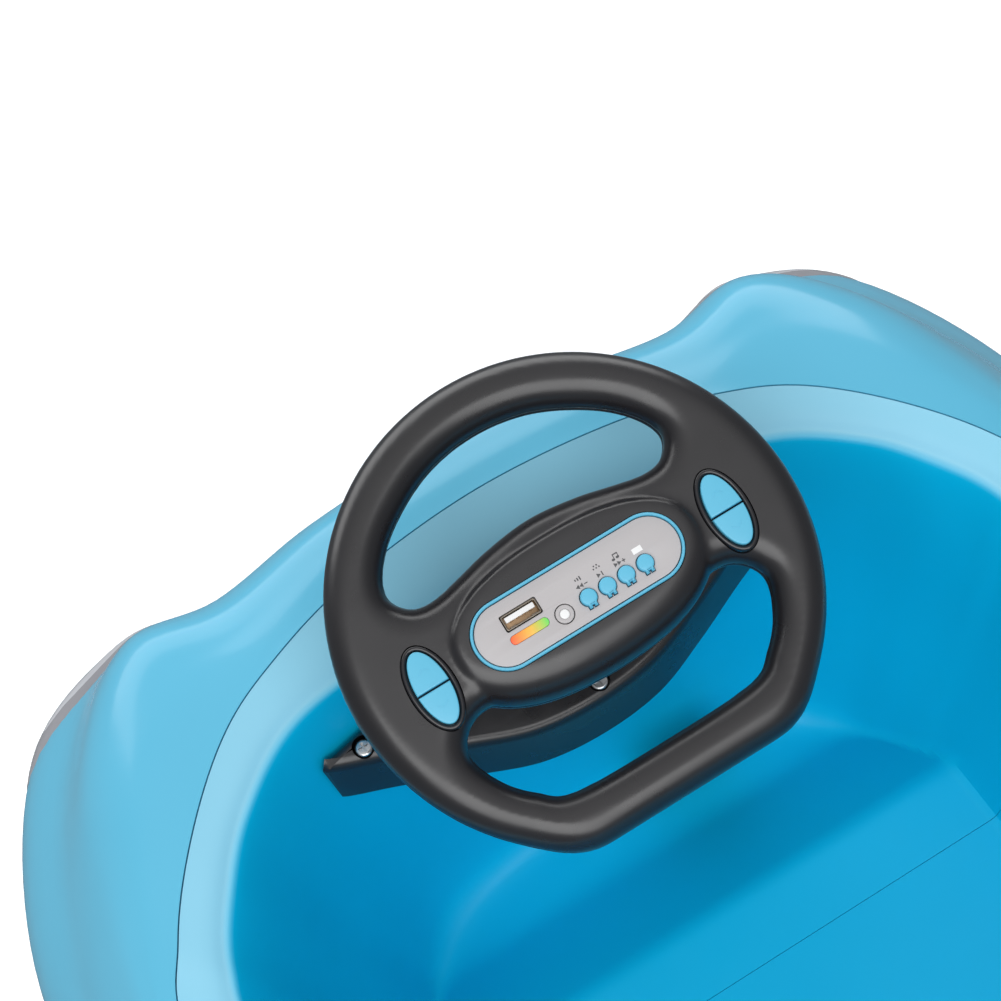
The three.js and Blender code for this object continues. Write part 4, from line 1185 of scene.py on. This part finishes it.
def build_rear_wheels():
    half, radius = REAR_AXLE["width"] / 2, REAR_AXLE["radius"]
    tyre_verts, tyre_faces = revolve(tyre_profile(radius, half, 54.3, 4), 144)
    section = [
        (5.3, -half + 2), (18, -half + 2), (18, 4), (44, 8), (44, -half + 2), (54, -half + 2),
        (54, half - 2), (51.5, half - 0.6), (48, half - 0.6), (46, half - 2), (44.5, half - 9),
        (41, half - 11), (21, half - 9), (18.5, half - 7), (16.5, half - 1.2), (15, half),
        (5.3, half),
    ]
    rim_verts, rim_faces = revolve(section, 128)
    for side, sign in (("right", 1), ("left", -1)):
        body = f"rear_{side}_wheel"
        make_piece(f"tyre_{side}", place_wheel(tyre_verts, REAR_AXLE, sign), tyre_faces,
                   TYRE_BLACK, body, [f"rear_tyre_{side}"])
        make_piece(f"rim_{side}", place_wheel(rim_verts, REAR_AXLE, sign), rim_faces,
                   SILVER, body, [f"rear_rim_{side}"])
        build_spokes(f"rim_spoke_{side}", REAR_AXLE, sign, 6, (17, 46), 6, half - 11.5,
                     half - 3, SILVER, body)


# ---------- Carried-over CAD nodes ----------
NODE_FINISH = {
    "column_bush": WHITE, "battery": GLOSS_BLACK, "control_box": TRAY_BLACK,
    "gearbox_left": TRAY_BLACK, "gearbox_right": TRAY_BLACK, "motor_left": STEEL,
    "motor_right": STEEL, "rear_axle": STEEL, "front_axle_beam": TRAY_BLACK,
    "switch_panel": GLOSS_BLACK, "charge_socket": STEEL, "pedal_base": TRAY_BLACK,
    "accelerator_pedal": SATIN_BLACK, "drive_switch": SATIN_BLACK, "power_button": BUTTON_BLUE,
    "steering_column": STEEL, "lower_shaft": STEEL, "tie_rod": STEEL,
    "knuckle_left": STEEL, "knuckle_right": STEEL,
}


def finish_cad_nodes():
    for name, material in NODE_FINISH.items():
        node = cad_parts[name]
        node.data.materials.clear()
        node.data.materials.append(material)
        bevel = node.modifiers.new("edge", "BEVEL")
        bevel.width = 0.5 * MM
        bevel.segments = 2
        bevel.limit_method = "ANGLE"
        bevel.angle_limit = math.radians(40)
        node.modifiers.new("shading", "WEIGHTED_NORMAL")


# ---------- Camera, floor and lights ----------
# Angles in degrees: turned right of straight ahead, down from level, and tilted.
CAMERA = {
    "lens": 93.5, "yaw": 16.2, "elevation": 61.5, "roll": -16.6, "place": (-122.7, -196.5, 1168.3),
}
FLOOR_REACH = 30  # metres
# Studio lights: place, point aimed at, size in metres and power in watts.
LIGHTS = {
    "front_card": ((0.3, 3.0, 1.3), (0, 0.1, 0.3), (6.5, 1.9), 105),
    "key": ((-0.7, -1.5, 2.3), (0, 0.1, 0.25), (2.8, 2.2), 60),
}
# The dome's colour from straight down (0) to straight up (1).
DOME_STOPS = [
    (0.0, (0.2, 0.22, 0.24, 1)), (0.45, (0.3, 0.31, 0.32, 1)),
    (0.7, (0.6, 0.61, 0.62, 1)), (1.0, (0.95, 0.95, 0.95, 1)),
]


def add_camera():
    data = bpy.data.cameras.new("camera")
    data.sensor_width = 36
    data.lens = CAMERA["lens"]
    camera = new_object("camera", data)
    yaw, elevation, roll = (
        math.radians(CAMERA[angle]) for angle in ("yaw", "elevation", "roll"))
    forward = Vector((math.sin(yaw) * math.cos(elevation), math.cos(yaw) * math.cos(elevation),
                      -math.sin(elevation)))
    level = Vector((math.cos(yaw), -math.sin(yaw), 0))
    upright = level.cross(forward)
    right = level * math.cos(roll) + upright * math.sin(roll)
    up = right.cross(forward)
    basis = Matrix((right, up, -forward)).transposed().to_4x4()
    camera.matrix_world = Matrix.Translation(Vector(CAMERA["place"]) * MM) @ basis
    bpy.context.scene.camera = camera


def add_area_light(name, place, aim, size, power):
    data = bpy.data.lights.new(name, "AREA")
    data.shape = "RECTANGLE"
    data.size, data.size_y = size
    data.energy = power
    light = new_object(name, data)
    light.location = place
    light.rotation_euler = (Vector(aim) - Vector(place)).to_track_quat("-Z", "Y").to_euler()


def add_studio():
    mesh = bpy.data.meshes.new("floor")
    reach = FLOOR_REACH
    mesh.from_pydata([(-reach, -reach, 0), (reach, -reach, 0), (reach, reach, 0),
                      (-reach, reach, 0)], [], [(0, 1, 2, 3)])
    floor = new_object("floor", mesh)
    floor.visible_glossy = False
    material = new_material(
        "studio_floor", (0.93, 0.93, 0.93), 0.7,
        Emission_Color=(1, 1, 1, 1), Emission_Strength=0.25)
    add_variation(material, (0.925, 0.925, 0.925), (0.935, 0.935, 0.935), 2)
    mesh.materials.append(material)
    bpy.context.scene.world = studio_world()
    for name, (place, aim, size, power) in LIGHTS.items():
        add_area_light(name, place, aim, size, power)
    bpy.context.scene.view_settings.view_transform = "Standard"


def studio_world():
    """White behind the object, and a soft dome, brightest overhead, for its light."""
    world = bpy.data.worlds.new("studio")
    world.use_nodes = True
    nodes, links = world.node_tree.nodes, world.node_tree.links
    coordinates = new_node(nodes, "TexCoord")
    split = nodes.new("ShaderNodeSeparateXYZ")
    dome = nodes.new("ShaderNodeValToRGB")
    for position in (0.4, 0.6):
        dome.color_ramp.elements.new(position)
    for element, (position, color) in zip(dome.color_ramp.elements, DOME_STOPS):
        element.position = position
        element.color = color
    links.new(coordinates.outputs["Generated"], split.inputs["Vector"])
    links.new(split.outputs["Z"], dome.inputs["Fac"])
    links.new(dome.outputs["Color"], nodes["Background"].inputs["Color"])
    backdrop = nodes.new("ShaderNodeBackground")
    seen = nodes.new("ShaderNodeLightPath")
    choose = nodes.new("ShaderNodeMixShader")
    backdrop.inputs["Color"].default_value = (1, 1, 1, 1)
    links.new(seen.outputs["Is Camera Ray"], choose.inputs["Fac"])
    links.new(nodes["Background"].outputs["Background"], choose.inputs[1])
    links.new(backdrop.outputs["Background"], choose.inputs[2])
    links.new(choose.outputs["Shader"], nodes["World Output"].inputs["Surface"])
    return world


build_tray()
build_lamps()
build_wheel()
build_panel()
build_usb()
build_jack()
build_gauge()
build_sound_board()
build_audio_buttons()
build_icons()
build_spoke_buttons()
build_bridge()
for screw_name, screw_place in SCREWS.items():
    build_screw(screw_name, *screw_place)
build_front_wheels()
build_rear_wheels()
finish_cad_nodes()
add_camera()
add_studio()
